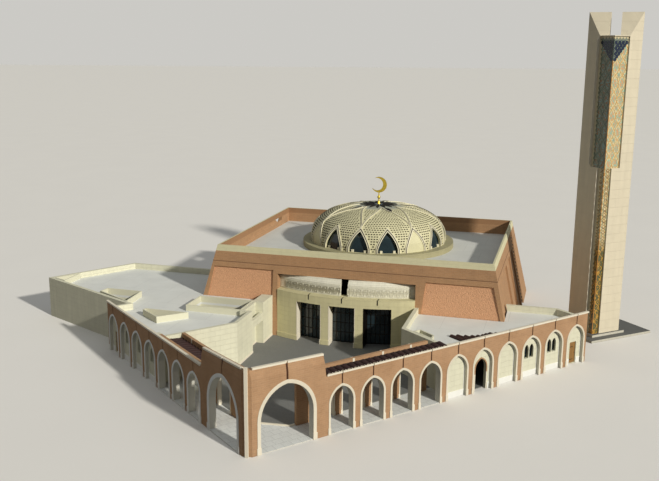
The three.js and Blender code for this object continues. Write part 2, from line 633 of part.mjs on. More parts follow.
function addLeftWing() {
  const y = LEFT_COURT_Y;
  const turn = meetY(y, LEFT_COURT_U);
  const innerTurn = meetY(y + WING_WALL, LEFT_COURT_U - WING_WALL);
  const deepU = LEFT_COURT_U - ALCOVE.depth;
  const acrossAlcove = (u0, u1, margin, z0, z1) => prism([
    toWorld([u0, ALCOVE.from - margin]), toWorld([u1, ALCOVE.from - margin]),
    toWorld([u1, ALCOVE.to + margin]), toWorld([u0, ALCOVE.to + margin]),
  ], z0, z1);
  const alcove = acrossAlcove(deepU, LEFT_COURT_U + PAST, 0, -PAST, WING_TOP + PAST);
  const beam = acrossAlcove(
    LEFT_COURT_U - ALCOVE_BEAM.depth, LEFT_COURT_U, PAST, ALCOVE_BEAM.bottom, ALCOVE_BEAM.top);
  addPiece(mosque, 'left_wing_court_wall', join(cut(prism([
    [WALL_THICKNESS, y], turn, toWorld([LEFT_COURT_U, IN_HALL]),
    toWorld([deepU - WING_WALL, IN_HALL]), toWorld([deepU - WING_WALL, ALCOVE.from - WING_WALL]),
    toWorld([LEFT_COURT_U - WING_WALL, ALCOVE.from - WING_WALL]), innerTurn, [WALL_THICKNESS, y + WING_WALL],
  ], 0, WING_TOP), alcove, hallOutline), beam), CREAM_STONE);

  const p2 = LEFT_CORNER_P2;
  const p3 = toWorld(LEFT_CORNER_P3_UV);
  const p1 = [LEFT_OUTER_START_X, LEFT_END];
  const p4 = toWorld([0, LEFT_CORNER_P3_UV[1]]);
  const p0 = [WALL_THICKNESS, LEFT_END];
  const run = [p0, p1, p2, p3, p4];
  addPiece(mosque, 'left_wing_outer_wall', cut(
    prism([...run, ...insetCorners(run, WING_WALL).reverse()], 0, WING_TOP), hallOutline), CREAM_STONE);

  const inner = insetCorners(run, WING_WALL + GAP);
  const inside = (z0, z1) => cut(prism([
    [WALL_THICKNESS, y + WING_WALL], [innerTurn[0] - 2 * GAP, y + WING_WALL],
    toWorld([LEFT_COURT_U - WING_WALL - GAP, ALCOVE.from - WING_WALL - GAP]),
    toWorld([deepU - WING_WALL - GAP, ALCOVE.from - WING_WALL - GAP]),
    toWorld([deepU - WING_WALL - GAP, IN_HALL]), toWorld([WING_END_U, IN_HALL]),
    toWorld([WING_END_U, LEFT_WING_BACK_V]), ...[...inner].reverse(),
  ], z0, z1), hallOutline);
  const wellRight = deepU - WING_WALL - GAP;
  const courtWell = [
    toWorld([COURT_WELL.left, COURT_WELL.to]), toWorld([wellRight, COURT_WELL.to]),
    toWorld([wellRight, COURT_WELL.from]), toWorld([COURT_WELL.left, COURT_WELL.from]),
  ];
  addRoof('left_wing_roof', inside(WING_ROOF.low, WING_ROOF.high), [...LEFT_WELLS, courtWell]);
  addPiece(mosque, 'left_wing_floor', inside(0, WALK_FLOOR), GREY_PAVING);
}

// The corners of an open run of wall moved to its right-hand side by a distance
function insetCorners(points, distance) {
  const sides = points.slice(1).map((end, i) => {
    const start = points[i];
    const length = Math.hypot(end[0] - start[0], end[1] - start[1]);
    const along = [(end[0] - start[0]) / length, (end[1] - start[1]) / length];
    const normal = [along[1], -along[0]];
    return { start: [start[0] + normal[0] * distance, start[1] + normal[1] * distance], along };
  });
  const result = [sides[0].start];
  for (let i = 1; i < sides.length; i += 1) {
    const a = sides[i - 1];
    const b = sides[i];
    const cross = a.along[0] * b.along[1] - a.along[1] * b.along[0];
    const t = ((b.start[0] - a.start[0]) * b.along[1] - (b.start[1] - a.start[1]) * b.along[0]) / cross;
    result.push([a.start[0] + a.along[0] * t, a.start[1] + a.along[1] * t]);
  }
  const last = sides[sides.length - 1];
  const end = points[points.length - 1];
  const normal = [last.along[1], -last.along[0]];
  result.push([end[0] + normal[0] * distance, end[1] + normal[1] * distance]);
  return result;
}

// A closed outline, listed clockwise, moved inwards
function inset(points, distance) {
  const count = points.length;
  const run = [...points, points[0], points[1]];
  return insetCorners(run, distance).slice(1, count + 1);
}

// A roof slab with lightwells: a hole through the slab and a wall around it, above and below the slab
function addRoof(name, slab, wells) {
  const rims = wells.map((well) => prism(well, WELL_FOOT, WELL_TOP));
  const holes = wells.map((well) =>
    prism(inset(well, WELL_WALL), WELL_FOOT - PAST, WELL_TOP + PAST));
  addPiece(mosque, name, cut(join(slab, ...rims), ...holes), WHITE_ROOF);
}

// Floors of the walks and the court
function addFloors() {
  const k = KERB.line;
  const c = KERB.corner;
  const right = bayCentres(RIGHT_START, 1, RIGHT_OPEN_BAYS);
  const left = bayCentres(LEFT_START, 1, LEFT_OPEN_BAYS);
  const t = WALL_THICKNESS;
  // The floor runs through each arch as a tongue from the line at one depth to the line at another
  const tongue = (centre, half, from, to) => [
    [centre - half + GAP, from], [centre - half + GAP, to],
    [centre + half - GAP, to], [centre + half - GAP, from],
  ];
  const outward = (centres) => [
    tongue(BIG_ARCH_CENTRE, BIG_ARCH.half, t, 0), ...centres.map((at) => tongue(at, SMALL_ARCH.half, t, 0)),
  ].flat();
  const inward = (centres) =>
    centres.flatMap((at) => tongue(at, SMALL_ARCH.half, INNER_FACE, INNER_BACK));
  addPiece(mosque, 'walk_floor', prism([
    [t, t], ...outward(right), [RIGHT_COURT_X, t], [RIGHT_COURT_X, INNER_BACK],
    [RIGHT_INNER_END + GAP, INNER_BACK], [RIGHT_INNER_END + GAP, INNER_FACE], ...inward(right).reverse(),
    [RIGHT_INNER_START - GAP, INNER_FACE], [RIGHT_INNER_START - GAP, k - GAP], [c - GAP, k - GAP],
    [k - GAP, c - GAP], [k - GAP, LEFT_INNER_START - GAP], [INNER_FACE, LEFT_INNER_START - GAP],
    ...swapped(inward(left)),
    [INNER_FACE, LEFT_COURT_Y], [t, LEFT_COURT_Y],
    ...swapped(outward(left).reverse()),
  ], 0, WALK_FLOOR), WHITE_ROOF);

  const turnRight = meetX(RIGHT_COURT_X, RIGHT_COURT_U);
  const turnLeft = meetY(LEFT_COURT_Y, LEFT_COURT_U);
  const b = INNER_BACK;
  addPiece(mosque, 'court_floor', cut(prism([
    [c, k], [RIGHT_INNER_START, k], [RIGHT_INNER_START, b + GAP], [RIGHT_COURT_X - GAP, b + GAP],
    [turnRight[0] - GAP, turnRight[1] + GAP], toWorld([RIGHT_COURT_U - GAP, IN_HALL]),
    toWorld([LEFT_COURT_U + GAP, IN_HALL]), toWorld([LEFT_COURT_U + GAP, ALCOVE.to - GAP]),
    toWorld([LEFT_COURT_U - ALCOVE.depth + GAP, ALCOVE.to - GAP]),
    toWorld([LEFT_COURT_U - ALCOVE.depth + GAP, ALCOVE.from + GAP]),
    toWorld([LEFT_COURT_U + GAP, ALCOVE.from + GAP]),
    [turnLeft[0] + GAP, turnLeft[1] - GAP], [b + GAP, LEFT_COURT_Y - GAP],
    [b + GAP, LEFT_INNER_START], [k, LEFT_INNER_START], [k, c],
  ], 0, COURT_FLOOR), ...hallFrontBlocks()), GREY_PAVING);
}

// The solid blocks of the hall front beside the recess, grown a little, for cutting the court floor
function hallFrontBlocks() {
  const form = hallForm(GAP, -PAST, HALL_HEIGHT);
  const left = common(form, box(-FAR, RECESS.left + GAP, -FAR, FAR, -PAST, HALL_HEIGHT));
  const right = common(form, box(RECESS.right - GAP, HALL_WIDTH + FAR, -FAR, FAR, -PAST, HALL_HEIGHT));
  return [left.applyMatrix4(hallMatrix), right.applyMatrix4(hallMatrix)];
}

// Prayer hall: battered walls of even thickness, cut from the outer form less the room
function hallRoom(margin, z0, z1) {
  const at = (z) => 1 - z / HALL_HEIGHT;
  const rect = (z) => [
    HALL_WALL.left - BATTER.left * at(z) + margin,
    HALL_WIDTH - HALL_WALL.right + BATTER.right * at(z) - margin,
    HALL_WALL.front - BATTER.front * at(z) + margin,
    HALL_DEPTH - HALL_WALL.back + BATTER.back * at(z) - margin,
  ];
  return taperedBox(rect(z0), rect(z1), z0, z1);
}

// What lies outside the hall's form moved inwards, between two depths along the side walls
function sideCutters(panel) {
  const core = hallForm(-panel.depth, -PAST, HALL_HEIGHT + PAST);
  return [[-FAR, HALL_WIDTH / 2], [HALL_WIDTH / 2, HALL_WIDTH + FAR]].map(([u0, u1]) =>
    cut(box(u0, u1, panel.from, panel.to, -PAST, panel.top), core));
}

function addHallWalls() {
  const form = hallForm(0, 0, HALL_HEIGHT);
  const w = PARAPET_WIDTH;
  // Above the roof the walls' inner faces are upright and in line with the parapet's
  const upper = (margin, z0, z1) =>
    box(w + margin, HALL_WIDTH - w - margin, w + margin, HALL_DEPTH - w - margin, z0, z1);
  const ring = cut(form, hallRoom(0, -PAST, HALL_ROOF.low), upper(0, HALL_ROOF.low - GAP, HALL_HEIGHT + PAST),
    ...SIDE_PANELS.flatMap(sideCutters));
  const part = (u0, u1, v0, v1, z0, z1) => common(ring, box(u0, u1, v0, v1, z0, z1));
  const top = PARAPET_BOTTOM;
  const rightEnd = HALL_WIDTH + FAR;
  const frontEnd = HALL_WALL.front;
  const backStart = HALL_DEPTH - HALL_WALL.back;
  const middle = HALL_WIDTH / 2;
  const panelCut = ({ foot, top: head }) => taperedBox(
    [...foot, -BATTER.front - FAR, panelBack(0)], [...head, -FAR, panelBack(PANEL.top)], 0, PANEL.top);
  const panelCuts = [panelCut(PANEL_ENDS.left), panelCut(PANEL_ENDS.right)];
  addPiece(hall, 'hall_front_left', cut(
    part(-FAR, RECESS.left, -FAR, frontEnd, 0, BAND_BOTTOM), ...panelCuts), MASONRY);
  addPiece(hall, 'hall_front_right', cut(
    part(RECESS.right, rightEnd, -FAR, frontEnd, 0, BAND_BOTTOM), ...panelCuts), MASONRY);
  addPiece(hall, 'hall_front_band', cut(
    part(-FAR, rightEnd, -FAR, frontEnd, BAND_BOTTOM, top), ...panelCuts), MASONRY);
  addPiece(hall, 'hall_left_wall', part(-FAR, middle, frontEnd + GAP, backStart - GAP, 0, top), MASONRY);
  addPiece(hall, 'hall_right_wall', part(middle, rightEnd, frontEnd + GAP, backStart - GAP, 0, top), MASONRY);
  addPiece(hall, 'hall_back_wall', part(-FAR, rightEnd, backStart, HALL_DEPTH + FAR, 0, top), MASONRY);
  addPiece(hall, 'hall_parapet', cut(
    hallForm(0, top, HALL_HEIGHT), upper(0, top - PAST, HALL_HEIGHT + PAST)), CREAM_STONE);
  const well = new THREE.CylinderGeometry(DOME_RING.inner, DOME_RING.inner, HALL_HEIGHT, DOME.segments);
  well.rotateX(Math.PI / 2).translate(DOME_CENTRE[0], DOME_CENTRE[1], HALL_ROOF.low);
  addPiece(hall, 'hall_roof', cut(upper(GAP, HALL_ROOF.low, HALL_ROOF.high), well), WHITE_ROOF);
  addPiece(hall, 'hall_floor', hallRoom(GAP, 0, COURT_FLOOR), GREY_PAVING);
}

// Rough panels set in the hall front
const frontAt = (z) => -BATTER.front * (1 - z / HALL_HEIGHT);
function panelBack(z) { return frontAt(z) + PANEL.depth; }

function addFrontPanels() {
  const slab = ({ foot, top }) => taperedBox(
    [foot[0] + GAP, foot[1] - GAP, frontAt(0), panelBack(0) - GAP],
    [top[0] + GAP, top[1] - GAP, frontAt(PANEL.top) + PANEL.lean, panelBack(PANEL.top) - GAP],
    0, PANEL.top - GAP);
  addPiece(hall, 'front_panel_left', slab(PANEL_ENDS.left), ROUGH_MASONRY);
  addPiece(hall, 'front_panel_right', slab(PANEL_ENDS.right), ROUGH_MASONRY);
}

// A closed ring turned about the vertical axis through a point, from a profile of [radius, z]
function turned(profile, centre, segments) {
  const outline = [...profile, profile[0]].map(([r, z]) => new THREE.Vector2(r, z));
  const geometry = new THREE.LatheGeometry(outline, segments);
  return geometry.rotateX(Math.PI / 2).translate(centre[0], centre[1], 0);
}

// Curved entrance wall with three portals, and the set-back band above its ledge
function addEntrance() {
  const centre = [ENTRANCE_MIDDLE, ENTRANCE_FRONT + ENTRANCE_RADIUS];
  const r = ENTRANCE_RADIUS;
  const inner = r - ENTRANCE_DEPTH;
  const far = ENTRANCE_REACH;
  const left = RECESS.left + GAP;
  const right = RECESS.right - GAP;
  const between = (z0, z1, u0 = left, u1 = right) => box(u0, u1, -far, far, z0, z1);
  const centres = [-1, 0, 1].map((i) => ENTRANCE_MIDDLE + i * PORTAL.pitch);
  const half = PORTAL.width / 2;
  const portals = centres.map((c) => box(c - half, c + half, -far, far, 0, PORTAL.height));
  const slots = centres.map((c) => box(c - PORTAL.slot / 2, c + PORTAL.slot / 2,
    -far, frontOf(c) + PORTAL.slotBack, PORTAL.slotBottom, ENTRANCE_TOP + PAST));
  const wall = turned([[inner, COURT_FLOOR], [r, COURT_FLOOR], [r, ENTRANCE_TOP], [inner, ENTRANCE_TOP]],
    centre, ENTRANCE_SEGMENTS);
  addPiece(hall, 'entrance_wall',
    cut(common(wall, between(COURT_FLOOR, ENTRANCE_TOP)), ...portals, ...slots), CREAM_STONE);

  const face = r - LEDGE_DEPTH;
  const band = turned([
    [inner, ENTRANCE_TOP], [face, ENTRANCE_TOP], [face, BAND_SHOULDER],
    [face - BAND_TOP_DEPTH, BAND_BOTTOM - GAP], [inner, BAND_BOTTOM - GAP],
  ], centre, ENTRANCE_SEGMENTS);
  const slotLeft = ENTRANCE_MIDDLE - BAND_SLOT / 2;
  const slotRight = ENTRANCE_MIDDLE + BAND_SLOT / 2;
  addPiece(hall, 'entrance_band_left',
    common(band, between(ENTRANCE_TOP, BAND_BOTTOM, left, slotLeft)), PALE_STONE);
  addPiece(hall, 'entrance_band_right',
    common(band, between(ENTRANCE_TOP, BAND_BOTTOM, slotRight, right)), PALE_STONE);

  const glassFace = inner - GAP;
  const glazing = turned([
    [glassFace - GLAZING, COURT_FLOOR], [glassFace, COURT_FLOOR],
    [glassFace, ENTRANCE_TOP], [glassFace - GLAZING, ENTRANCE_TOP],
  ], centre, ENTRANCE_SEGMENTS);
  addPiece(hall, 'portal_glazing', common(glazing, between(COURT_FLOOR, ENTRANCE_TOP)), DARK_GLASS);
}

function frontOf(u) {
  const across = u - ENTRANCE_MIDDLE;
  return ENTRANCE_FRONT + ENTRANCE_RADIUS - Math.sqrt(ENTRANCE_RADIUS ** 2 - across ** 2);
}

// Dome on its ring
function domeProfile(radius, rise, steps) {
  const points = [];
  for (let i = 0; i <= steps; i += 1) {
    const angle = (i / steps) * (Math.PI / 2);
    const out = Math.max(0, Math.cos(angle)) ** (2 / DOME.power) * radius;
    points.push([i === steps ? 0 : out, DOME_RING.top + Math.sin(angle) ** (2 / DOME.power) * rise]);
  }
  return points;
}

function shell(outer, innerPoints, segments) {
  const outline = [...outer, ...innerPoints.slice().reverse(), outer[0]];
  const geometry = new THREE.LatheGeometry(outline.map(([r, z]) => new THREE.Vector2(r, z)), segments);
  return geometry.rotateX(Math.PI / 2).translate(DOME_CENTRE[0], DOME_CENTRE[1], 0);
}

function addDome() {
  addPiece(hall, 'dome_ring', turned([
    [DOME_RING.inner, HALL_ROOF.high], [DOME_RING.outer, HALL_ROOF.high],
    [DOME_RING.outer, DOME_RING.top], [DOME_RING.inner, DOME_RING.top],
  ], DOME_CENTRE, DOME.segments), CREAM_STONE);

  const windows = [];
  for (let i = 0; i < DOME_WINDOWS; i += 1) {
    if (DOME_BLANK_WINDOWS.includes(i)) continue;
    const angle = DOME_FIRST_WINDOW + (i * 2 * Math.PI) / DOME_WINDOWS;
    const outline = archPoints(0, DOME_WINDOW, DOME_WINDOW.sill);
    const opening = new THREE.ExtrudeGeometry(shapeOf(outline), { depth: DOME.radius, bevelEnabled: false });
    opening.applyMatrix4(ALONG_Y).rotateZ(angle).translate(DOME_CENTRE[0], DOME_CENTRE[1], DOME_RING.top);
    windows.push(opening);
  }
  const outer = domeProfile(DOME.radius, DOME.rise, DOME.steps);
  const inner = domeProfile(DOME.radius - DOME.shell, DOME.rise - DOME.shell, DOME.steps);
  addPiece(hall, 'dome_shell', cut(shell(outer, inner, DOME.segments), ...windows), CREAM_STONE);

  const inside = DOME.shell + DOME_GLASS.behind;
  const within = inside + DOME_GLASS.thickness;
  addPiece(hall, 'dome_glass', shell(
    domeProfile(DOME.radius - inside, DOME.rise - inside, DOME.steps / 2),
    domeProfile(DOME.radius - within, DOME.rise - within, DOME.steps / 2), DOME.segments / 2), DARK_GLASS);
}

// Gilt finial: a turned rod with a ball, and a crescent open to the upper left
function addFinial() {
  const outline = FINIAL.profile.map(([r, z]) => new THREE.Vector2(r, z));
  const rod = new THREE.LatheGeometry(outline, FINIAL.segments);
  rod.rotateX(Math.PI / 2).translate(0, 0, DOME_RING.top + DOME.rise - FINIAL.sunk);
  const disc = (radius, half, x, z) => {
    const geometry = new THREE.CylinderGeometry(radius, radius, 2 * half, FINIAL.segments * 3);
    return geometry.translate(x, 0, z);
  };
  const crescent = cut(
    disc(CRESCENT.outer, CRESCENT.half, 0, CRESCENT.centre),
    disc(CRESCENT.inner, CRESCENT.half + PAST, CRESCENT.shift * Math.cos(CRESCENT_TURN),
      CRESCENT.centre + CRESCENT.shift * Math.sin(CRESCENT_TURN)));
  const finial = join(rod, crescent).translate(DOME_CENTRE[0], DOME_CENTRE[1], 0);
  const domeSolid = shell(domeProfile(DOME.radius + GAP, DOME.rise + GAP, DOME.steps),
    [[0, DOME_RING.top]], DOME.segments);
  addPiece(hall, 'dome_finial', cut(finial, domeSolid), GOLD);
}

// Minaret: a square shaft on two low plinths, with a corner crown cut by a slot
function addMinaret() {
  const half = MINARET_SIDE / 2;
  const rect = (z0, z1, size) => box(-size.left, size.right, -size.front, size.back, z0, z1);
  const foot = 2 * PLINTH_STEP;
  addPiece(minaret, 'minaret_plinth', join(
    rect(0, PLINTH_STEP, LOWER_PLINTH), rect(PLINTH_STEP, foot, UPPER_PLINTH)), GREY_STONE);

  // Beyond this plane, measured from the near corner along both faces, the crown is cut back
  const crown = new THREE.ExtrudeGeometry(shapeOf([
    [-PAST, CROWN_LEDGE], [CROWN_CUT, CROWN_LEDGE], [MINARET_SIDE, MINARET_TOP + PAST],
    [-PAST, MINARET_TOP + PAST],
  ]), { depth: 4 * half, bevelEnabled: false });
  crown.applyMatrix4(ALONG_X).translate(0, 2 * half, 0);
  const toCorner = new THREE.Matrix4().makeRotationZ(Math.PI / 4);
  crown.scale(Math.SQRT1_2, 1, 1).applyMatrix4(toCorner).translate(-half, -half, 0);
  const slot = box(-2 * half, 2 * half, -CROWN_SLOT / 2, CROWN_SLOT / 2, CROWN_LEDGE, MINARET_TOP + PAST);
  slot.applyMatrix4(toCorner);
  const recess = (width, z0, z1) => [
    box(-half - PAST, -half + width, -half - PAST, -half + MOSAIC_RECESS, z0, z1),
    box(-half - PAST, -half + MOSAIC_RECESS, -half - PAST, -half + width, z0, z1),
  ];
  const shaft = cut(box(-half, half, -half, half, foot, MINARET_TOP), crown, slot,
    ...recess(MOSAIC_NARROW, foot - PAST, MOSAIC_STEP + PAST),
    ...recess(MOSAIC_WIDE, MOSAIC_STEP, CROWN_LEDGE - MOSAIC_LIP));
  addPiece(minaret, 'minaret_shaft', shaft, PALE_STONE);
  const lining = (width, z0, z1) => {
    const outer = -half + MOSAIC_RECESS - GAP;
    const front = outer - MOSAIC_THICKNESS;
    const end = -half + width - GAP;
    return prism([
      [front, front], [end, front], [end, outer], [outer, outer], [outer, end], [front, end],
    ], z0, z1);
  };
  addPiece(minaret, 'minaret_mosaic', join(
    lining(MOSAIC_NARROW, foot, MOSAIC_STEP),
    lining(MOSAIC_WIDE, MOSAIC_STEP, CROWN_LEDGE - MOSAIC_LIP - GAP)), MOSAIC);
}

addCornerBay();
addCopings();
addArcades();
addInnerArcades();
addBackingWalls();
addDoors();
addRightWing();
addLeftWing();
addFloors();
addHallWalls();
addFrontPanels();
addEntrance();
addDome();
addFinial();
addMinaret();

export default mosque;
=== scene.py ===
"""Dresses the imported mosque: brick, stone, tile, glass, mosaic and metal finishes, and its fine work."""

import itertools
import math

import bmesh
import bpy
from mathutils import Matrix, Vector


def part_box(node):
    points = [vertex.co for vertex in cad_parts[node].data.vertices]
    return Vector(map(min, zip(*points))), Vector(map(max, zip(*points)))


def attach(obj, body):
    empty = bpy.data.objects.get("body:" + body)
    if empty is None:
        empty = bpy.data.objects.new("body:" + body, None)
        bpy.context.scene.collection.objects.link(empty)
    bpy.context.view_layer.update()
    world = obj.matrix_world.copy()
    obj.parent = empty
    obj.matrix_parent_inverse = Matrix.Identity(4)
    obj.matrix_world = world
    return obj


bl_info = {
    "name": "Mosque dressing",
    "version": (1, 0, 0),
    "blender": (4, 5, 0),
    "location": "View3D > Sidebar > Mosque",
    "description": "Finishes and fine work for the 1:2 model of a mosque building",
    "category": "Object",
}

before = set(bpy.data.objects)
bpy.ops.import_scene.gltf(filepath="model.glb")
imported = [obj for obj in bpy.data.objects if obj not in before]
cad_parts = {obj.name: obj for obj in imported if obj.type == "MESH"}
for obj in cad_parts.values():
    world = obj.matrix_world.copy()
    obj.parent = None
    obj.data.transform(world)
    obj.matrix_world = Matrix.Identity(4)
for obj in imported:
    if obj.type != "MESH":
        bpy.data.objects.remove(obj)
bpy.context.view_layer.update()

# The outer faces of the two arcades meet at this x and y
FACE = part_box("right_arcade_wall")[0].y
# How far along each arcade the first bay starts, and where the tiles behind it end
BAY = 1.8
STARTS = {"right": 4.21, "left": 4.27}
TILES_END = {"right": 11.53, "left": 9.99}
BIG_CENTRE = 2.145
# Depths of the screen in a closed bay, of the whole wall, and of the inner arcade's two faces
SCREEN = 0.18
WALL = 0.36
INNER_FACE = 1.62
INNER_BACK = 1.8

# Arches: half width, height of the springing, height of the point, and the arc's radius where
# it doesn't start upright
SMALL = (0.65, 1.49, 2.31, None)
INNER = (0.65, 1.49, 2.23, None)
BIG = (1.39, 1.52, 3.08, None)
LANCET = (0.16, 1.56, 1.85, None)
LANCET_SILL = 1.06
LANCET_OFFSET = 0.19
DOORWAY = (0.4, 1.21, 1.76, None)
DOME_WINDOW = (0.64, 0.26, 1.33, 2.3)

# Frames of the parts that are turned: x along the front, y towards the back
RIGHT = Matrix.Translation((FACE, FACE, 0))
LEFT = RIGHT @ Matrix.Rotation(math.radians(-90), 4, "Z")
SIDES = {"right": RIGHT, "left": LEFT}
HALL = Matrix.Translation((7.138 + FACE, 16.571 + FACE, 0)) @ Matrix.Rotation(math.radians(-50), 4, "Z")
MINARET = Matrix.Translation((26.993 + FACE, 3.323 + FACE, 0)) @ Matrix.Rotation(math.radians(-8), 4, "Z")
# The dome is a flattened round shape: the power says how full its curve is
DOME = HALL @ Matrix.Translation((8.5, 7.8, 4.9))
DOME_RADIUS = 4.58
DOME_RISE = 2.4
DOME_POWER = 2.6
DOME_WINDOWS = 15
BLANK_WINDOWS = (2, 13)
FIRST_WINDOW = math.radians(-93.3)
WINDOW_STEP = 2 * math.pi / DOME_WINDOWS
# The axis of the curved entrance, and its portals by how far they are from its middle
ENTRANCE_AXIS = (8.316, 9.946)
ENTRANCE = HALL @ Matrix.Translation((*ENTRANCE_AXIS, 0))
PORTALS = (-2.13, 0, 2.13)
# The hall's width, depth and height at its top, and how far each wall leans out at its foot
HALL_SIZE = (17.06, 13.72, 5.58)
LEAN = {"left": 1.7, "right": 1.22, "front": 0.16, "back": 1.7}
# The dark recess in the hall's right wall, by its distance behind the front, and its height
LOUVRE = (10.9, 11.98, 5.2)
# The mosaic's corner edge from the minaret's axis, and the heights of its wide part's foot and its crest
MOSAIC_CORNER = 1.015
MOSAIC_FOOT = 10.66
MOSAIC_CREST = 18.17


# Sizes and colours


def linear(code):
    """An sRGB hex colour as linear RGBA."""
    parts = [int(code[i : i + 2], 16) / 255 for i in (1, 3, 5)]
    return [p / 12.92 if p <= 0.04045 else ((p + 0.055) / 1.055) ** 2.4 for p in parts] + [1.0]


def length(name, description, default):
    return bpy.props.FloatProperty(name=name, description=description, default=default, unit="LENGTH")


def hue(name, description, code):
    return bpy.props.FloatVectorProperty(
        name=name, description=description, default=linear(code), subtype="COLOR", size=4, min=0, max=1
    )


class MosqueSizes(bpy.types.PropertyGroup):
    trim: length("Trim width", "Face width of the white trim round a small arch", 0.1)
    big_trim: length("Corner trim width", "Face width of the white trim round a corner arch", 0.16)
    proud: length("Trim projection", "How far the white trims stand out of the wall", 0.025)
    foot: length("Foot height", "Height of the blocks under the trims and of the plinth bands", 0.34)
    tile_pitch: length("Tile pitch", "Distance between the rows of barrel tiles", 0.36)
    tile_rise: length("Tile rise", "Height of a barrel tile over its bed", 0.12)
    dome_line: length("Dome line width", "Width of a raised line on the dome", 0.045)
    dot_pitch: length("Dot pitch", "Distance between the small holes of the dome's pattern", 0.175)
    skirting: length("Skirting height", "Height of the white line at the foot of the court walls", 0.12)


class MosqueColours(bpy.types.PropertyGroup):
    brick: hue("Brick", "Terracotta brick", "#B08B68")
    brick_dark: hue("Dark brick", "Harder burnt bricks among the terracotta", "#A27D5A")
    hall_brick: hue("Hall brick", "Brick of the prayer hall's frame", "#AC845E")
    rough: hue("Split blocks", "Split-faced terracotta blocks", "#D8A67F")
    limestone: hue("Cream limestone", "Slabs of the wings", "#D2D0B8")
    court_stone: hue("Warm limestone", "Slabs of the entrance wall", "#C8C198")
    dome_stone: hue("Dome limestone", "Smooth cream stone of the dome", "#CBC6A0")
    parapet_stone: hue("Parapet stone", "Cream coping stone of the hall's parapet", "#CDC8A4")
    trim_stone: hue("White limestone", "Arch trims and copings", "#C9C1AC")
    # The linings are white stone; their grey is painted shade
    shaded_lining_stone: hue("Grey limestone", "Linings of the arches", "#9FA39B")
    sandstone: hue("Pale sandstone", "Slabs of the minaret", "#D3C9B0")
    band_stone: hue("Band stone", "Greyish white stone of the entrance band", "#D9D6C4")
    screed: hue("Roof screed", "Light roof covering", "#D8DAD5")
    paving: hue("Paving", "Grey stone floors", "#727370")
    tile: hue("Clay tile", "Dark red-brown barrel tiles", "#321611")
    glass: hue("Glass", "Dark window glass", "#2B3A40")
    wood: hue("Door wood", "Oiled door boards", "#8F6A38")
    gilt: hue("Gilding", "Gilt finial", "#F2D65A")
    glaze_teal: hue("Teal glaze", "Teal mosaic tiles", "#6F9A8A")
    glaze_blue: hue("Blue glaze", "Dark blue mosaic discs", "#14213A")
    glaze_orange: hue("Orange glaze", "Orange mosaic lines", "#C98A3E")


def sizes():
    return bpy.context.scene.mosque_sizes


# Shader helpers. A colour is a socket, a linear colour or an sRGB hex code


def add(tree, kind, *inputs, out=0, **settings):
    """Adds a node, its inputs linked or set in order or by a dict of sockets; gives one of its outputs."""
    node = tree.nodes.new("ShaderNode" + kind)
    for name, value in settings.items():
        setattr(node, name, value)
    named = inputs[0] if inputs and isinstance(inputs[0], dict) else dict(enumerate(inputs))
    for socket, value in named.items():
        if isinstance(value, bpy.types.NodeSocket):
            tree.links.new(value, node.inputs[socket])
        else:
            node.inputs[socket].default_value = linear(value) if isinstance(value, str) else value
    return node.outputs[out]


def surface(name, **sockets):
    """The node tree of a new material, with sockets of its shader set."""
    material = bpy.data.materials.new(name)
    material.use_nodes = True
    for socket, value in sockets.items():
        material.node_tree.nodes["Principled BSDF"].inputs[socket].default_value = value
    return material.node_tree


def coated(tree, colour, grain=None, depth=0.0):
    """Gives the material its colour, and a relief with its depth in metres."""
    shader = tree.nodes["Principled BSDF"]
    tree.links.new(colour, shader.inputs["Base Color"])
    if grain is not None:
        bump = add(tree, "Bump", {"Height": grain, "Distance": depth})
        tree.links.new(bump, shader.inputs["Normal"])


def maths(tree, operation, number, *others):
    """A number put through an operation, with each of the others in turn."""
    for other in others or (0.0,):
        number = add(tree, "Math", number, other, operation=operation)
    return number


def layered(tree, colour, *layers):
    """A colour under others: each layer is its mask, its colour and, if it is thin, its strength."""
    for mask, shade, *strength in layers:
        if strength:
            mask = maths(tree, "MULTIPLY", mask, *strength)
        colour = add(tree, "Mix", {0: mask, 6: colour, 7: shade}, data_type="RGBA", out=2)
    return colour


def shaded(tree, colour, *tones):
    """A colour made darker or lighter: each tone is an amount, and the factors where it is 0 and 1."""
    for amount, low, high in tones:
        grey = add(tree, "MapRange", amount, 0.0, 1.0, low, high)
        sockets = {0: 1.0, 6: colour, 7: add(tree, "CombineXYZ", grey, grey, grey)}
        colour = add(tree, "Mix", sockets, data_type="RGBA", blend_type="MULTIPLY", out=2)
    return colour


def noise(tree, place, scale, detail=3.0, stretch=(1, 1, 1)):
    """Noise with grains of 1 / scale metres, finer along an axis by its stretch."""
    mapped = add(tree, "Mapping", {"Vector": place, "Scale": stretch})
    return add(tree, "TexNoise", {"Vector": mapped, "Scale": scale, "Detail": detail})


def framed(tree, place):
    """Object coordinates and surface normals in the frame of a part that is turned."""
    turn = (0, 0, -place.to_euler().z)
    spot = add(tree, "TexCoord", out="Object")
    moved = add(tree, "VectorMath", spot, place.to_translation(), operation="SUBTRACT")
    normal = add(tree, "NewGeometry", out="Normal")
    return [add(tree, "Mapping", {"Vector": vector, "Rotation": turn}) for vector in (moved, normal)]


def across_wall(tree, place):
    """Metres along a wall and up it, or a floor's two sides; then the place and the normal, each split."""
    spot, normal = framed(tree, place)
    at_place = add(tree, "SeparateXYZ", spot).node.outputs
    facing = add(tree, "SeparateXYZ", normal).node.outputs
    sideways, level = [maths(tree, "GREATER_THAN", maths(tree, "ABSOLUTE", facing[i]), 0.7) for i in (0, 2)]
    along = add(tree, "Mix", {0: sideways, 2: at_place[0], 3: at_place[1]})
    up = add(tree, "Mix", {0: level, 2: at_place[2], 3: at_place[1]})
    return add(tree, "CombineXYZ", along, up), at_place, facing


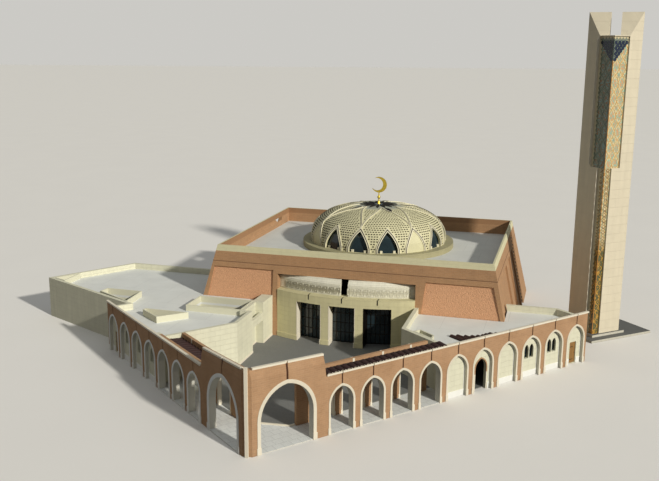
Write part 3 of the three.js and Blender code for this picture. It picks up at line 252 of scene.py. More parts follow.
def courses(tree, place, width, height, joint, tone=0.25):
    """Blocks in courses: how much of a joint shows, and a shade of grey for each block."""
    darker, lighter, middle = [[grey] * 3 + [1] for grey in (0.5 - tone, 0.5 + tone, 0.5)]
    blocks = add(tree, "TexBrick", {
        "Vector": place, "Scale": 1.0, "Brick Width": width, "Row Height": height, "Mortar Size": joint,
        "Mortar Smooth": 0.3, "Color1": darker, "Color2": lighter, "Mortar": middle,
    }).node.outputs
    return blocks["Fac"], blocks["Color"]


def sunk(tree, grain, joint, depth):
    """A relief with its joints let in."""
    return add(tree, "Math", joint, -depth, grain, operation="MULTIPLY_ADD")


# Materials


def brickwork(name, place, light, dark):
    """Fired terracotta brick, laid in courses with lime joints: matt, each brick its own shade."""
    # A half-size course is 38 mm high, too fine to show, so it is drawn 100 mm high and 260 mm long
    tree = surface(name, Roughness=0.88, IOR=1.5)
    spot = across_wall(tree, place)[0]
    joint, tone = courses(tree, spot, 0.26, 0.1, 0.008)
    colour = layered(tree, light, (add(tree, "MapRange", noise(tree, spot, 0.9, 4.0), 0.3, 0.75), dark))
    soot = noise(tree, spot, 6.0, 5.0, (1, 0.25, 1))
    colour = shaded(tree, colour, (tone, 0.88, 1.1), (soot, 0.9, 1.08))
    colour = layered(tree, colour, (joint, "#C4A98C", 0.3))
    coated(tree, colour, sunk(tree, noise(tree, spot, 22.0, 4.0), joint, 1.5), 0.004)


def split_blocks(name, place, light):
    """Split-faced concrete blocks, coloured terracotta: a coarse broken face with upright runs."""
    # The splits are 20 to 60 mm across on the half-size wall
    tree = surface(name, Roughness=0.95, IOR=1.5)
    spot = across_wall(tree, place)[0]
    broken = noise(tree, spot, 17.0, 6.0, (1, 0.45, 1))
    pits = add(tree, "TexVoronoi", {"Vector": spot, "Scale": 24.0})
    colour = shaded(tree, light, (broken, 0.7, 1.26))
    colour = layered(tree, colour, (add(tree, "MapRange", pits, 0.3, 0.75, 0.0, 0.4), "#B07F5C"))
    coated(tree, colour, sunk(tree, broken, pits, 0.7), 0.03)


def slabs(name, place, light, width, height, roughness=0.72, streak=0.12, seam=0.1):
    """Honed stone slabs with hairline joints: soft cloudy colour and faint upright rain marks."""
    # Slabs are half the size of real ones; the joint, 2 mm, is drawn 9 mm wide so that it shows faintly
    tree = surface(name, Roughness=roughness, IOR=1.52)
    spot = across_wall(tree, place)[0]
    joint, tone = courses(tree, spot, width, height, 0.009, 0.2)
    cloud, rain = noise(tree, spot, 1.3, 5.0), noise(tree, spot, 4.0, 4.0, (1, 0.08, 1))
    colour = shaded(tree, light, (tone, 0.97, 1.03), (cloud, 0.93, 1.06), (rain, 1 - streak, 1 + streak))
    colour = layered(tree, colour, (joint, "#7A735A", seam))
    coated(tree, colour, sunk(tree, noise(tree, spot, 30.0), joint, 2.0), 0.003)


def trim_stone(name, light):
    """Cut white limestone of the trims and copings: fine and pale, paler at its sharp edges, partly from wear
    and partly as a painted highlight.
    """
    tree = surface(name, Roughness=0.62, IOR=1.52)
    spot = add(tree, "TexCoord", out="Object")
    # Sharp edges are paler: partly wear, partly a painted highlight
    worn_and_highlit = add(tree, "MapRange", add(tree, "NewGeometry", out="Pointiness"), 0.5, 0.6)
    colour = shaded(tree, light, (noise(tree, spot, 2.2, 5.0), 0.88, 1.08))
    coated(tree, layered(tree, colour, (worn_and_highlit, "#F7EFDC", 0.4)), noise(tree, spot, 40.0), 0.0015)


def dome_limestone(name, light, crown):
    """Smooth limestone of the dome: matt and even, bluer and greyer round the crown."""
    tree = surface(name, Roughness=0.7, IOR=1.52)
    spot = framed(tree, DOME)[0]
    flat = add(tree, "VectorMath", spot, (1, 1, 0), operation="MULTIPLY")
    radius = add(tree, "VectorMath", flat, operation="LENGTH", out="Value")
    colour = layered(tree, crown, (add(tree, "MapRange", radius, 1.5, 1.9), light))
    cloud, grain = noise(tree, spot, 1.6, 5.0), noise(tree, spot, 12.0, 4.0)
    colour = shaded(tree, colour, (cloud, 0.9, 1.08), (grain, 0.95, 1.05))
    coated(tree, colour, noise(tree, spot, 30.0), 0.002)


def parapet_stone(name, light, brick):
    """Cream coping slabs of the parapet, with brickwork on the sides that face the roof."""
    tree = surface(name, Roughness=0.75, IOR=1.5)
    spot, at_place, facing = across_wall(tree, HALL)
    edges = [maths(tree, "SUBTRACT", HALL_SIZE[i], at_place[i]) for i in (0, 1)]
    inside = maths(tree, "GREATER_THAN", maths(tree, "MINIMUM", at_place[0], at_place[1], *edges), 0.1)
    upright = maths(tree, "LESS_THAN", maths(tree, "ABSOLUTE", facing[2]), 0.1)
    inner = maths(tree, "MULTIPLY", inside, upright)
    joint, tone = courses(tree, spot, 1.2, 0.6, 0.009, 0.2)
    colour = shaded(tree, light, (tone, 0.97, 1.03))
    colour = layered(tree, colour, (joint, "#7A735A", 0.15), (inner, brick))
    colour = shaded(tree, colour, (noise(tree, spot, 3.0, 5.0), 0.9, 1.08))
    coated(tree, colour, noise(tree, spot, 30.0), 0.003)


def roof_screed(name, light, rim, middle, reach):
    """Trowelled roof screed with a pale coating: matt and blotchy, with cream rims off the slab's heights."""
    tree = surface(name, Roughness=0.85, IOR=1.5)
    spot, at_place, _ = across_wall(tree, HALL)
    blotch = noise(tree, spot, 0.7, 5.0)
    joint = courses(tree, spot, 2.4, 2.4, 0.014, 0.1)[0]
    off = maths(tree, "ABSOLUTE", maths(tree, "SUBTRACT", at_place[2], middle))
    rims = shaded(tree, rim, (blotch, 0.94, 1.06))
    colour = shaded(tree, light, (blotch, 0.88, 1.1))
    colour = layered(tree, colour, (joint, "#8F8E89", 0.25), (maths(tree, "GREATER_THAN", off, reach), rims))
    coated(tree, colour, noise(tree, spot, 16.0, 4.0), 0.004)


def paving(name, place, top, side, size):
    """Sawn granite paving: grey, speckled, with tight joints; its upright sides take a colour of their own.
    """
    tree = surface(name, Roughness=0.75, IOR=1.55)
    spot, _, facing = across_wall(tree, place)
    joint, tone = courses(tree, spot, size, size, 0.01, 0.2)
    # Upright sides take the side colour; on the minaret's plinth that is painted light, over a top in painted
    # shade
    colour = layered(tree, top, (maths(tree, "LESS_THAN", facing[2], 0.7), side))
    colour = shaded(tree, colour, (tone, 0.93, 1.07), (noise(tree, spot, 14.0, 6.0), 0.8, 1.2))
    colour = layered(tree, colour, (joint, "#5F605C", 0.35))
    coated(tree, colour, maths(tree, "MULTIPLY", joint, -1.0), 0.003)


def barrel_clay(name, light):
    """Fired clay roof tile: dark red-brown, some pieces nearly black; the dark colour and the black pieces
    are partly painted shade, of the hollows between the barrels.
    """
    tree = surface(name, Roughness=0.62, IOR=1.5)
    spot = add(tree, "TexCoord", out="Object")
    tone = add(tree, "SeparateXYZ", add(tree, "TexVoronoi", {"Vector": spot, "Scale": 3.1}, out="Color"))
    # The near-black pieces are partly painted shade, of the hollows between the barrels
    colour = layered(tree, light, (add(tree, "MapRange", tone, 0.2, 0.9, 0.0, 0.7), "#2A1510"))
    colour = shaded(tree, colour, (noise(tree, spot, 12.0, 5.0), 0.75, 1.3))
    coated(tree, colour, noise(tree, spot, 30.0, 4.0), 0.003)


def mottled(name, light, roughness, ior, cloud, shades, grain=None, depth=0.002):
    """A plain material with clouds in its colour, and the same or another noise as its relief."""
    tree = surface(name, Roughness=roughness, IOR=ior)
    spot = add(tree, "TexCoord", out="Object")
    clouds = noise(tree, spot, *cloud)
    relief = noise(tree, spot, *grain) if grain else clouds
    coated(tree, shaded(tree, light, (clouds, *shades)), relief, depth)


def oiled_boards(name, light):
    """Oiled hardwood boards: long upright grain, satin from the oil."""
    # Grain lines are 2 to 5 mm apart, and are drawn 20 mm apart so that they show
    tree = surface(name, Roughness=0.48, IOR=1.5)
    spot = add(tree, "TexCoord", out="Object")
    grain, board = noise(tree, spot, 50.0, 6.0, (1, 1, 0.06)), noise(tree, spot, 9.0, 1.0, (1, 1, 0.01))
    coated(tree, shaded(tree, light, (grain, 0.6, 1.3), (board, 0.75, 1.25)), grain, 0.0015)


def plain_metal(name, light, roughness):
    """Brushed or gilded metal: a clear colour, broken a little by fine scratches and tarnish."""
    tree = surface(name, Metallic=1.0)
    spot = add(tree, "TexCoord", out="Object")
    tarnish = noise(tree, spot, 5.0, 5.0)
    rough = add(tree, "MapRange", tarnish, 0.3, 0.7, roughness - 0.1, roughness + 0.1)
    tree.links.new(rough, tree.nodes["Principled BSDF"].inputs["Roughness"])
    coated(tree, shaded(tree, light, (tarnish, 0.75, 1.15)), noise(tree, spot, 60.0), 0.0008)


def glazed_mosaic(name, colours):
    """Glazed ceramic mosaic in a generic geometric design: ovals that cross, in small glossy pieces."""
    # Pieces are 10 mm wide at half size, too fine to show, so they are drawn 60 mm wide
    tree = surface(name, Roughness=0.24, IOR=1.55)
    spot, at_place, facing = across_wall(tree, MINARET)
    left = maths(tree, "GREATER_THAN", maths(tree, "ABSOLUTE", facing[0]), 0.7)
    from_corner = [maths(tree, "ADD", at_place[i], MOSAIC_CORNER) for i in (0, 1)]
    along = add(tree, "Mix", {0: left, 2: from_corner[0], 3: from_corner[1]})
    height = at_place[2]
    cells = {"Vector": spot, "Scale": 15.0}
    chance = add(tree, "SeparateXYZ", add(tree, "TexVoronoi", cells, out="Color"))
    gap = add(tree, "TexVoronoi", cells, feature="DISTANCE_TO_EDGE", out="Distance")

    def above(value, limit):
        return maths(tree, "GREATER_THAN", value, limit)

    def below(value, limit):
        return maths(tree, "LESS_THAN", value, limit)

    def waves(shapes, middles, phases=(0.0, math.pi)):
        """How far it is to the nearest of some lines that swing, each shape a period and a reach."""
        gaps = []
        for (period, reach), middle, phase in itertools.product(shapes, middles, phases):
            angle = maths(tree, "ADD", maths(tree, "MULTIPLY", height, 2 * math.pi / period), phase)
            swing = maths(tree, "MULTIPLY", maths(tree, "SINE", angle), reach)
            off_line = maths(tree, "SUBTRACT", along, maths(tree, "ADD", swing, middle))
            gaps.append(maths(tree, "ABSOLUTE", off_line))
        return maths(tree, "MINIMUM", *gaps) if gaps[1:] else gaps[0]

    def strewn(base, *others):
        """Pieces of one colour among which pieces of others lie, each above its share."""
        return layered(tree, base, *[(above(chance, share), shade) for share, shade in others])

    ovals = waves([(1.9, 0.27)], (0.27, 0.81))
    laces = waves([(0.75, 0.11)], (0.05, 0.53, 1.01))
    oval_line, lace_line, heart = below(ovals, 0.022), below(laces, 0.016), above(ovals, 0.13)
    bright = layered(
        tree, strewn("#D3C697", (0.55, "#C9C39C"), (0.8, "#B9A56A")),
        (heart, strewn("#93B39C", (0.4, "#C99C70"))), (lace_line, colours.glaze_teal),
        (oval_line, colours.glaze_orange),
    )
    # The left face stands in shade and takes darker, muted colours: partly its own, partly painted shade
    muted_and_shaded = layered(
        tree, strewn("#74816C", (0.6, "#8C9078")), (heart, strewn("#7E9C92", (0.5, "#8E6F50"))),
        (lace_line, "#5B5A44"), (oval_line, "#4C5A50"),
    )
    # The narrow part is pale with dark lines at its top, and golden further down
    golden = layered(
        tree, strewn("#4C4C2A", (0.55, "#7D602B"), (0.85, "#B48A38")),
        *[(below(waves([(0.62, 0.13)], (0.24,), (phase,)), 0.022), shade)
          for phase, shade in ((0.0, "#D09A38"), (math.pi, "#4A5A3C"))],
    )
    narrow = layered(
        tree, strewn("#CDB47A", (0.6, "#DCCFA8")),
        (below(waves([(0.7, 0.24), (0.36, 0.12)], (0.26,)), 0.03), "#6B4A22"),
        (below(laces, 0.014), "#6F9C8C"), (add(tree, "MapRange", height, 6.6, 5.4), golden),
    )
    # A jagged cream strip runs down the left edge of the wide and the narrow part on the left face: painted
    # light, the sunlit reveal at that edge
    low = below(height, MOSAIC_FOOT)
    jag = maths(tree, "MULTIPLY", maths(tree, "PINGPONG", height, 0.14), 0.5)
    painted_sunlit_edge = above(maths(tree, "ADD", along, jag), add(tree, "Mix", {0: low, 2: 1.02, 3: 0.36}))
    # The crest has a wavy line, and the corner's gold line starts under a dark triangle that points down
    swell = maths(tree, "MULTIPLY", maths(tree, "SINE", maths(tree, "MULTIPLY", along, 26.0)), 0.05)
    wavy = above(maths(tree, "ADD", height, swell), MOSAIC_CREST + 0.11)
    slope = maths(tree, "ADD", maths(tree, "MULTIPLY", along, 1.2), 16.95)
    triangle = maths(tree, "MULTIPLY", above(height, slope), below(height, MOSAIC_CREST))
    edge = maths(tree, "MULTIPLY", below(along, 0.03), below(height, 17.0))
    colour = layered(
        tree, bright, (left, muted_and_shaded), (low, narrow), (maths(tree, "MULTIPLY", painted_sunlit_edge, left), "#CFC6A6"),
        (above(height, MOSAIC_CREST), layered(tree, "#7C8272", (wavy, "#C9BC98"))), (triangle, "#4E585A"),
        (edge, colours.glaze_orange), (below(gap, 0.006), "#8F8870", 0.4),
    )
    coated(tree, colour, add(tree, "MapRange", gap, 0.0, 0.02), 0.003)


# Modelling helpers


def clear():
    """Object mode with nothing selected."""
    if bpy.context.object and bpy.context.object.mode != "OBJECT":
        bpy.ops.object.mode_set(mode="OBJECT")
    bpy.ops.object.select_all(action="DESELECT")


def chosen(*pieces):
    """Selects these pieces alone, the first of them active."""
    clear()
    for piece in pieces:
        piece.select_set(True)
    bpy.context.view_layer.objects.active = pieces[0]
    return pieces[0]


def drawn(corners):
    """The object just added, with its vertices moved to corners."""
    piece = bpy.context.object
    for vertex, corner in zip(piece.data.vertices, corners):
        vertex.co = corner
    return piece


def edited(piece):
    """The active piece in edit mode, with all of it selected."""
    bpy.ops.object.mode_set(mode="EDIT")
    bpy.ops.mesh.select_all(action="SELECT")
    return piece


def shaped(piece, kind, **settings):
    """The active piece with a modifier applied."""
    modifier = piece.modifiers.new(kind, kind)
    for name, value in settings.items():
        setattr(modifier, name, value)
    bpy.ops.object.modifier_apply(modifier=modifier.name)
    return piece


def outward(piece):
    """Merges what meets and turns all faces outwards."""
    edited(chosen(piece))
    bpy.ops.mesh.remove_doubles(threshold=0.00005)
    bpy.ops.mesh.normals_make_consistent(inside=False)
    bpy.ops.object.mode_set(mode="OBJECT")
    return piece


def plate(corners, push):
    """A flat outline, drawn as a filled ring of corners, extruded to a closed slab."""
    clear()
    bpy.ops.mesh.primitive_circle_add(vertices=len(corners), fill_type="NGON")
    piece = edited(drawn(corners))
    bpy.ops.mesh.extrude_region_move(TRANSFORM_OT_translate={"value": push})
    return outward(piece)


def strip(first, second, thickness):
    """A band between two lines of points, with a thickness about it."""
    clear()
    bpy.ops.mesh.primitive_grid_add(x_subdivisions=len(first) - 1, y_subdivisions=1)
    return outward(shaped(drawn([*first, *second]), "SOLIDIFY", thickness=thickness, offset=0))


def turned(profile, place, steps=32):
    """A profile of radius and height, spun a full turn about a place's own upright axis."""
    clear()
    bpy.ops.mesh.primitive_circle_add(vertices=len(profile), fill_type="NOTHING")
    piece = edited(drawn([(radius, 0, height) for radius, height in profile]))
    bpy.ops.mesh.spin(steps=steps, angle=2 * math.pi, center=(0, 0, 0), axis=(0, 0, 1))
    bpy.ops.object.mode_set(mode="OBJECT")
    piece.data.transform(place)
    return outward(piece)


def softened(piece, width=0.006):
    """The piece with its sharp edges bevelled."""
    sharp = math.radians(40)
    return shaped(chosen(piece), "BEVEL", width=width, limit_method="ANGLE", angle_limit=sharp)


def joined(parts):
    piece = chosen(*parts)
    if len(parts) > 1:
        bpy.ops.object.join()
    return piece


def stamped(piece, places):
    """One copy of a modelled piece at each place, all in one mesh."""
    mesh = bmesh.new()
    for place in places:
        copy = piece.data.copy()
        copy.transform(place)
        mesh.from_mesh(copy)
        bpy.data.meshes.remove(copy)
    mesh.to_mesh(piece.data)
    mesh.free()
    return piece


def repeated(piece, count, step):
    """The piece in a row of copies, each a step from the last."""
    return stamped(piece, [Matrix.Translation(step * i) for i in range(count)])


def finished(name, parts, material, body="building", smooth=None):
    """Joins parts to one named piece with its finish, riding on a body."""
    piece = joined(parts)
    piece.name = piece.data.name = name
    piece.data.materials.clear()
    piece.data.materials.append(bpy.data.materials[material])
    if smooth:
        bpy.ops.object.shade_smooth_by_angle(angle=math.radians(smooth))
    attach(piece, body)
    return piece


def side_at(side, along, depth, height):
    """A point by its distance along an arcade, its depth behind the outer face and its height."""
    return SIDES[side] @ Vector((along if side == "right" else -along, depth, height))


def wall_plate(side, centre, outline, near, far):
    """An outline of (along, height) about a bay's centre, as a slab between two depths."""
    corners = [side_at(side, centre + x, far, z) for x, z in outline]
    return plate(corners, side_at(side, 0, near, 0) - side_at(side, 0, far, 0))


def wall_blocks(side, centre, spans, heights, depths, soft=0.006):
    """Softened blocks on a wall, one for each span along it."""
    outlines = [box_outline(*span, *heights) for span in spans]
    return [softened(wall_plate(side, centre, outline, *depths), soft) for outline in outlines]


def box_outline(x0, x1, z0, z1):
    return [(x0, z0), (x1, z0), (x1, z1), (x0, z1)]


def both_sides(near, far):
    """The spans from near to far on either side of a centre line."""
    return [(-far, -near), (near, far)]


def around(count, step):
    """Points of a unit circle, a step of the angle apart."""
    return [(math.cos(step * i), math.sin(step * i)) for i in range(count)]


def arch_line(arch, grow, foot, steps=10):
    """A pointed arch grown outwards, from its left foot over its point to its right foot."""
    half, spring, apex, radius = arch
    rise = apex - spring
    chord = math.hypot(rise, half)
    radius = radius or chord**2 / (2 * half)
    back = math.sqrt(radius**2 - chord**2 / 4) / chord
    hub_x, hub_z = half / 2 - rise * back, (spring + apex) / 2 - half * back
    start = math.atan2(spring - hub_z, half - hub_x)
    radius += grow
    end = math.acos(-hub_x / radius)
    angles = [start + (end - start) * i / steps for i in range(steps + 1)]
    curve = [(hub_x + radius * math.cos(a), hub_z + radius * math.sin(a)) for a in angles]
    side = [(curve[0][0], foot)] + curve
    return [(-x, z) for x, z in side] + side[-2::-1]


def arch_ring(arch, outer, inner, foot=0.0):
    """The outline between an arch grown by one amount and the same arch grown by less."""
    return arch_line(arch, outer, foot) + arch_line(arch, inner, foot)[::-1]


def within_arch(across, height, arch, grow):
    """Whether a point of an elevation lies within an arch grown outwards."""
    line = arch_line(arch, grow, 0.0, 12)
    right = line[len(line) // 2 :]
    if height > right[0][1]:
        return False
    for (x0, z0), (x1, z1) in zip(right, right[1:]):
        if z1 <= height <= z0:
            t = (z0 - height) / max(z0 - z1, 1e-9)
            return abs(across) < x0 + (x1 - x0) * t
    return False


def bay_centre(side, bay):
    return STARTS[side] + (bay - 0.5) * BAY


def each_bay(parts, side, bays):
    """Parts modelled in the first of some bays, copied to the others."""
    step = side_at(side, BAY, 0, 0) - side_at(side, 0, 0, 0)
    return stamped(joined(parts), [Matrix.Translation(step * (bay - bays[0])) for bay in bays])


def plan_plate(place, points, low, high):
    """A plan in a turned frame, raised from one height to another."""
    corners = [place @ Vector((x, y, low)) for x, y in points]
    return plate(corners, Vector((0, 0, high - low)))


def dome_radius(height):
    return DOME_RADIUS * max(0.0, 1 - (max(height, 0.0) / DOME_RISE) ** DOME_POWER) ** (1 / DOME_POWER)


def dome_height(radius):
    return DOME_RISE * max(0.0, 1 - (radius / DOME_RADIUS) ** DOME_POWER) ** (1 / DOME_POWER)


def dome_normal(x, y, z):
    radius = max(math.hypot(x, y), 1e-6)
    out = (radius / DOME_RADIUS) ** (DOME_POWER - 1) / DOME_RADIUS
    up = (max(z, 0.0) / DOME_RISE) ** (DOME_POWER - 1) / DOME_RISE
    return Vector((x / radius * out, y / radius * out, up)).normalized()


def dome_lifted(x, y, z, lift):
    """A point of the dome moved out of its surface, in the world."""
    return DOME @ (Vector((x, y, z)) + dome_normal(x, y, z) * lift)


def window_edge(angle, grow, lift):
    """The line of the dome window at an angle, grown outwards and lifted out of the dome."""
    points = []
    for across, height in arch_line(DOME_WINDOW, grow, 0.004, 12):
        out = math.sqrt(max(dome_radius(height) ** 2 - across**2, 0.0))
        x = out * math.cos(angle) - across * math.sin(angle)
        y = out * math.sin(angle) + across * math.cos(angle)
        points.append(dome_lifted(x, y, height, lift))
    return points


def on_dome(angle, radius, lift):
    """A point of the dome by its bearing and its distance from the dome's axis."""
    return dome_lifted(radius * math.cos(angle), radius * math.sin(angle), dome_height(radius), lift)


def entrance_strip(u0, u1, radius, back, low, high, steps=6):
    """A curved bar on the entrance: a plan between two radii, raised."""
    us = [u0 + (u1 - u0) * i / steps for i in range(steps + 1)]
    points = [(u, radius) for u in us] + [(u, back) for u in reversed(us)]
    middle, axis = ENTRANCE_AXIS
    return plan_plate(HALL, [(middle + u, axis - math.sqrt(r**2 - u**2)) for u, r in points], low, high)


# Pieces


class MOSQUE_OT_stage(bpy.types.Operator):
    """A pale floor, a soft sun and sky, and a camera at the photograph's viewing angle"""

    bl_idname = "mosque.stage"
    bl_label = "Stage"

    def execute(self, context):
        clear()
        bpy.ops.mesh.primitive_plane_add(size=2400, location=(0, 0, 0))
        floor = context.object
        floor.name = "stage_floor"
        floor.data.transform(Matrix.Translation((10, 10, -0.002)))
        ground = surface("stage_floor", Roughness=0.9)
        cloud = noise(ground, add(ground, "TexCoord", out="Object"), 0.2)
        coated(ground, shaded(ground, "#E6E4DF", (cloud, 0.98, 1.02)))
        floor.data.materials.append(bpy.data.materials["stage_floor"])
        # The floor's glare would fill the shaded arcades, so it lights nothing
        floor.visible_diffuse = False

        bpy.ops.object.light_add(type="SUN", location=(0, 0, 40))
        sun = context.object
        sun.data.energy = 3.5
        sun.data.angle = math.radians(2.5)
        sun.data.color = (1.0, 0.96, 0.88)
        sun.rotation_euler = Vector((0.129, -0.898, 0.421)).to_track_quat("Z", "Y").to_euler()
        world = bpy.data.worlds.new("sky")
        context.scene.world = world
        world.use_nodes = True
        sky = world.node_tree
        up = add(sky, "SeparateXYZ", add(sky, "TexCoord", out="Generated"), out=2)
        # Dim below, a pale backdrop at the horizon, and a soft light that grows towards the top
        light = layered(sky, (0.1, 0.1, 0.1, 1), (add(sky, "MapRange", up, 0.1, 1.0), (0.43, 0.44, 0.44, 1)))
        light = layered(
            sky, (0.1, 0.09, 0.08, 1), (maths(sky, "GREATER_THAN", up, -0.05), (0.6, 0.59, 0.56, 1)),
            (maths(sky, "GREATER_THAN", up, 0.065), light),
        )
        sky.links.new(light, sky.nodes["Background"].inputs["Color"])

        # The camera that was fitted to the arcade in the photograph
        heading, down, roll = math.radians(34.16), math.radians(12.46), 0.0076
        ahead = (math.sin(heading) * math.cos(down), math.cos(heading) * math.cos(down), -math.sin(down))
        forward = Vector(ahead)
        level = Vector((math.cos(heading), -math.sin(heading), 0))
        upright = level.cross(forward)
        right = math.cos(roll) * level + math.sin(roll) * upright
        top = -math.sin(roll) * level + math.cos(roll) * upright
        camera = bpy.data.objects.new("camera", bpy.data.cameras.new("camera"))
        context.collection.objects.link(camera)
        spot = Matrix.Translation((-16.286 + FACE, -30.382 + FACE, 17.374))
        camera.matrix_world = spot @ Matrix((right, top, -forward)).transposed().to_4x4()
        camera.data.lens = 46.65
        camera.data.clip_end = 1000
        context.scene.camera = camera
        context.scene.view_settings.view_transform = "Standard"
        return {"FINISHED"}


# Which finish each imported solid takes
FINISHES = {
    "arcade_brick": [
        "corner_wall_right", "corner_wall_left", "right_arcade_wall", "left_arcade_wall",
        "right_inner_arcade", "left_inner_arcade",
    ],
    "hall_brick": [
        "hall_front_left", "hall_front_right", "hall_front_band", "hall_left_wall", "hall_right_wall",
        "hall_back_wall",
    ],
    "split_blocks": ["front_panel_left", "front_panel_right"],
    "white_limestone": [
        "corner_post", "corner_coping_right", "corner_coping_left", "right_coping", "left_coping",
    ],
    "cream_limestone": [
        "right_wing_front_wall", "left_wing_front_wall", "right_wing_outer_wall", "left_wing_outer_wall",
        "right_wing_court_wall", "left_wing_court_wall",
    ],
    "warm_limestone": ["entrance_wall"],
    "parapet_stone": ["hall_parapet"],
    "ring_shaded_limestone": ["dome_ring"],
    "dome_limestone": ["dome_shell"],
    "band_stone": ["entrance_band_left", "entrance_band_right"],
    "minaret_stone": ["minaret_shaft"],
    "wing_screed": ["right_wing_roof", "left_wing_roof"],
    "hall_screed": ["hall_roof"],
    "walk_paving": ["walk_floor"],
    "court_paving": ["right_wing_floor", "left_wing_floor", "court_floor", "hall_floor"],
    "plinth_granite": ["minaret_plinth"],
    "barrel_clay": ["right_walk_roof", "left_walk_roof"],
    "window_glass": ["portal_glazing", "dome_glass", "right_window_glass", "left_window_glass"],
    "glazed_mosaic": ["minaret_mosaic"],
    "oiled_boards": ["right_door", "left_door"],
    "gilt_brass": ["dome_finial"],
}


class MOSQUE_OT_finishes(bpy.types.Operator):
    """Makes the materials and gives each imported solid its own"""

    bl_idname = "mosque.finishes"
    bl_label = "Finishes"

    def execute(self, context):
        colours = context.scene.mosque_colours
        brickwork("arcade_brick", RIGHT, colours.brick, colours.brick_dark)
        brickwork("hall_brick", HALL, colours.hall_brick, colours.brick_dark)
        split_blocks("split_blocks", HALL, colours.rough)
        # The bluish white is white limestone tinted as it looks in shade: painted shade
        for name, light in (
            ("white_limestone", colours.trim_stone), ("shade_grey_limestone", colours.shaded_lining_stone),
            ("shade_blue_limestone", "#DDE3E4"), ("dome_line_stone", "#BFBB97"),
        ):
            trim_stone(name, light)
        # The slabs' width and height follow, then roughness, rain marks and joints where they differ
        for name, place, light, *measures in (
            ("cream_limestone", RIGHT, colours.limestone, 0.6, 0.3),
            ("warm_limestone", HALL, colours.court_stone, 0.6, 0.3),
            # The dome ring's darker stone is partly painted shade: the window recesses shade its face
            ("ring_shaded_limestone", HALL, "#9C9673", 1.2, 0.6),
            ("band_stone", HALL, colours.band_stone, 0.32, 0.12, 0.72, 0.12, 0.2),
            ("minaret_stone", MINARET, colours.sandstone, 1.1, 0.55, 0.6, 0.1, 0.05),
        ):
            slabs(name, place, light, *measures)
        parapet_stone("parapet_stone", colours.parapet_stone, "#96714F")
        dome_limestone("dome_limestone", colours.dome_stone, "#9DA091")
        roof_screed("wing_screed", colours.screed, colours.limestone, 2.2, 0.07)
        roof_screed("hall_screed", "#C9CAC4", colours.limestone, 4.5, 9.0)
        paving("walk_paving", RIGHT, "#DDDFDB", "#DAD7CB", 0.45)
        paving("court_paving", HALL, colours.paving, "#8F8E86", 0.45)
        # The plinth's dark top is painted shade and its pale sides are painted light: the tops of its steps
        # lie in shadow, their sides in the sun
        paving("plinth_granite", MINARET, "#5E5F5C", "#BDB9AA", 0.6)
        barrel_clay("barrel_clay", colours.tile)
        glazed_mosaic("glazed_mosaic", colours)
        oiled_boards("oiled_boards", colours.wood)
        plain_metal("gilt_brass", colours.gilt, 0.42)
        plain_metal("dark_bronze", "#3A332C", 0.5)
        plain_metal("zinc_sheet", "#8C97A3", 0.5)
        # Dark matt colours painted as the shade at the back of deep joints, grooves, slots and holes, and as
        # the shade and light of a relief, with some dust
        for name, light in (
            ("shadow_joint", "#3E3829"), ("groove_shade_brown", "#7C5D43"), ("black_shade_slot", "#15110E"),
            ("brown_slot", "#4A2E1E"), ("shaded_fret_stone", "#9A9580"), ("sunlit_fret_stone", "#C9C5B0"),
        ):
            mottled(name, light, 0.95, 1.45, (8.0, 4.0), (0.75, 1.2))
        # Tinted float glass before a dark room: smooth, with a faint ripple
        mottled("window_glass", colours.glass, 0.07, 1.52, (0.8, 2.0), (0.35, 1.1), (1.5, 1.0), 0.004)
        # Glazed ceramic: glossy, with pools of thicker and thinner glaze
        for name, light in (("blue_glaze", colours.glaze_blue), ("pale_glaze", "#9DB08A")):
            mottled(name, light, 0.2, 1.55, (14.0,), (0.7, 1.35))
        for material, nodes in FINISHES.items():
            for node in nodes:
                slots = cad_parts[node].data.materials
                slots.clear()
                slots.append(bpy.data.materials[material])
        return {"FINISHED"}


class MOSQUE_OT_arch_trims(bpy.types.Operator):
    """White trims, linings, foot blocks and shadow slits of the outer arches"""

    bl_idname = "mosque.arch_trims"
    bl_label = "Arch trims"

    def execute(self, context):
        size = sizes()
        # How far the trims reach into the small and the big arches, and the depths of trims and foot blocks
        lap, big_lap = 0.012, 0.018
        face = (-size.proud, 0.01)
        feet = ((0, size.foot), (-size.proud - 0.02, 0.012))
        # The left arcade stands in shade, so its trims take the bluish white: painted shade
        for side, last, opened, stone in (
            ("right", 10, 4, "white_limestone"), ("left", 7, 3, "shade_blue_limestone"),
        ):
            first = bay_centre(side, 1)
            every = list(range(1, last + 1))
            small = softened(wall_plate(side, first, arch_ring(SMALL, size.trim, -lap), *face))
            spans = both_sides(SMALL[0] - 0.028, SMALL[0] + size.trim + 0.03)
            trims = [each_bay([small, *wall_blocks(side, first, spans, *feet)], side, every)]
            big = wall_plate(side, BIG_CENTRE, arch_ring(BIG, size.big_trim, -big_lap), *face)
            spans = both_sides(BIG[0] - 0.034, BIG[0] + size.big_trim + 0.03)
            trims += [softened(big, 0.008), *wall_blocks(side, BIG_CENTRE, spans, *feet)]
            finished(f"{side}_arch_trims", trims, stone)

            # The linings are white stone coloured grey as it looks in shade: painted shade
            linings = [wall_plate(side, BIG_CENTRE, arch_ring(BIG, 0.006, -big_lap), 0.011, WALL)]
            ring = arch_ring(SMALL, 0.004, -lap)
            for start, end, depth in ((1, opened, WALL), (opened + 1, last, SCREEN)):
                reveal = wall_plate(side, bay_centre(side, start), ring, 0.011, depth)
                linings.append(each_bay([reveal], side, list(range(start, end + 1))))
            finished(f"{side}_arch_linings", linings, "shade_grey_limestone")

            # The slit over each arch holds a dark brown plate: painted shade of the gap
            slit = wall_plate(side, first, box_outline(-0.036, 0.036, SMALL[2] + 0.09, 2.925), 0.03, 0.088)
            tall = wall_plate(side, BIG_CENTRE, box_outline(-0.048, 0.048, BIG[2] + 0.15, 3.96), 0.045, 0.088)
            finished(f"{side}_slits", [each_bay([slit], side, every), tall], "brown_slot")
        return {"FINISHED"}


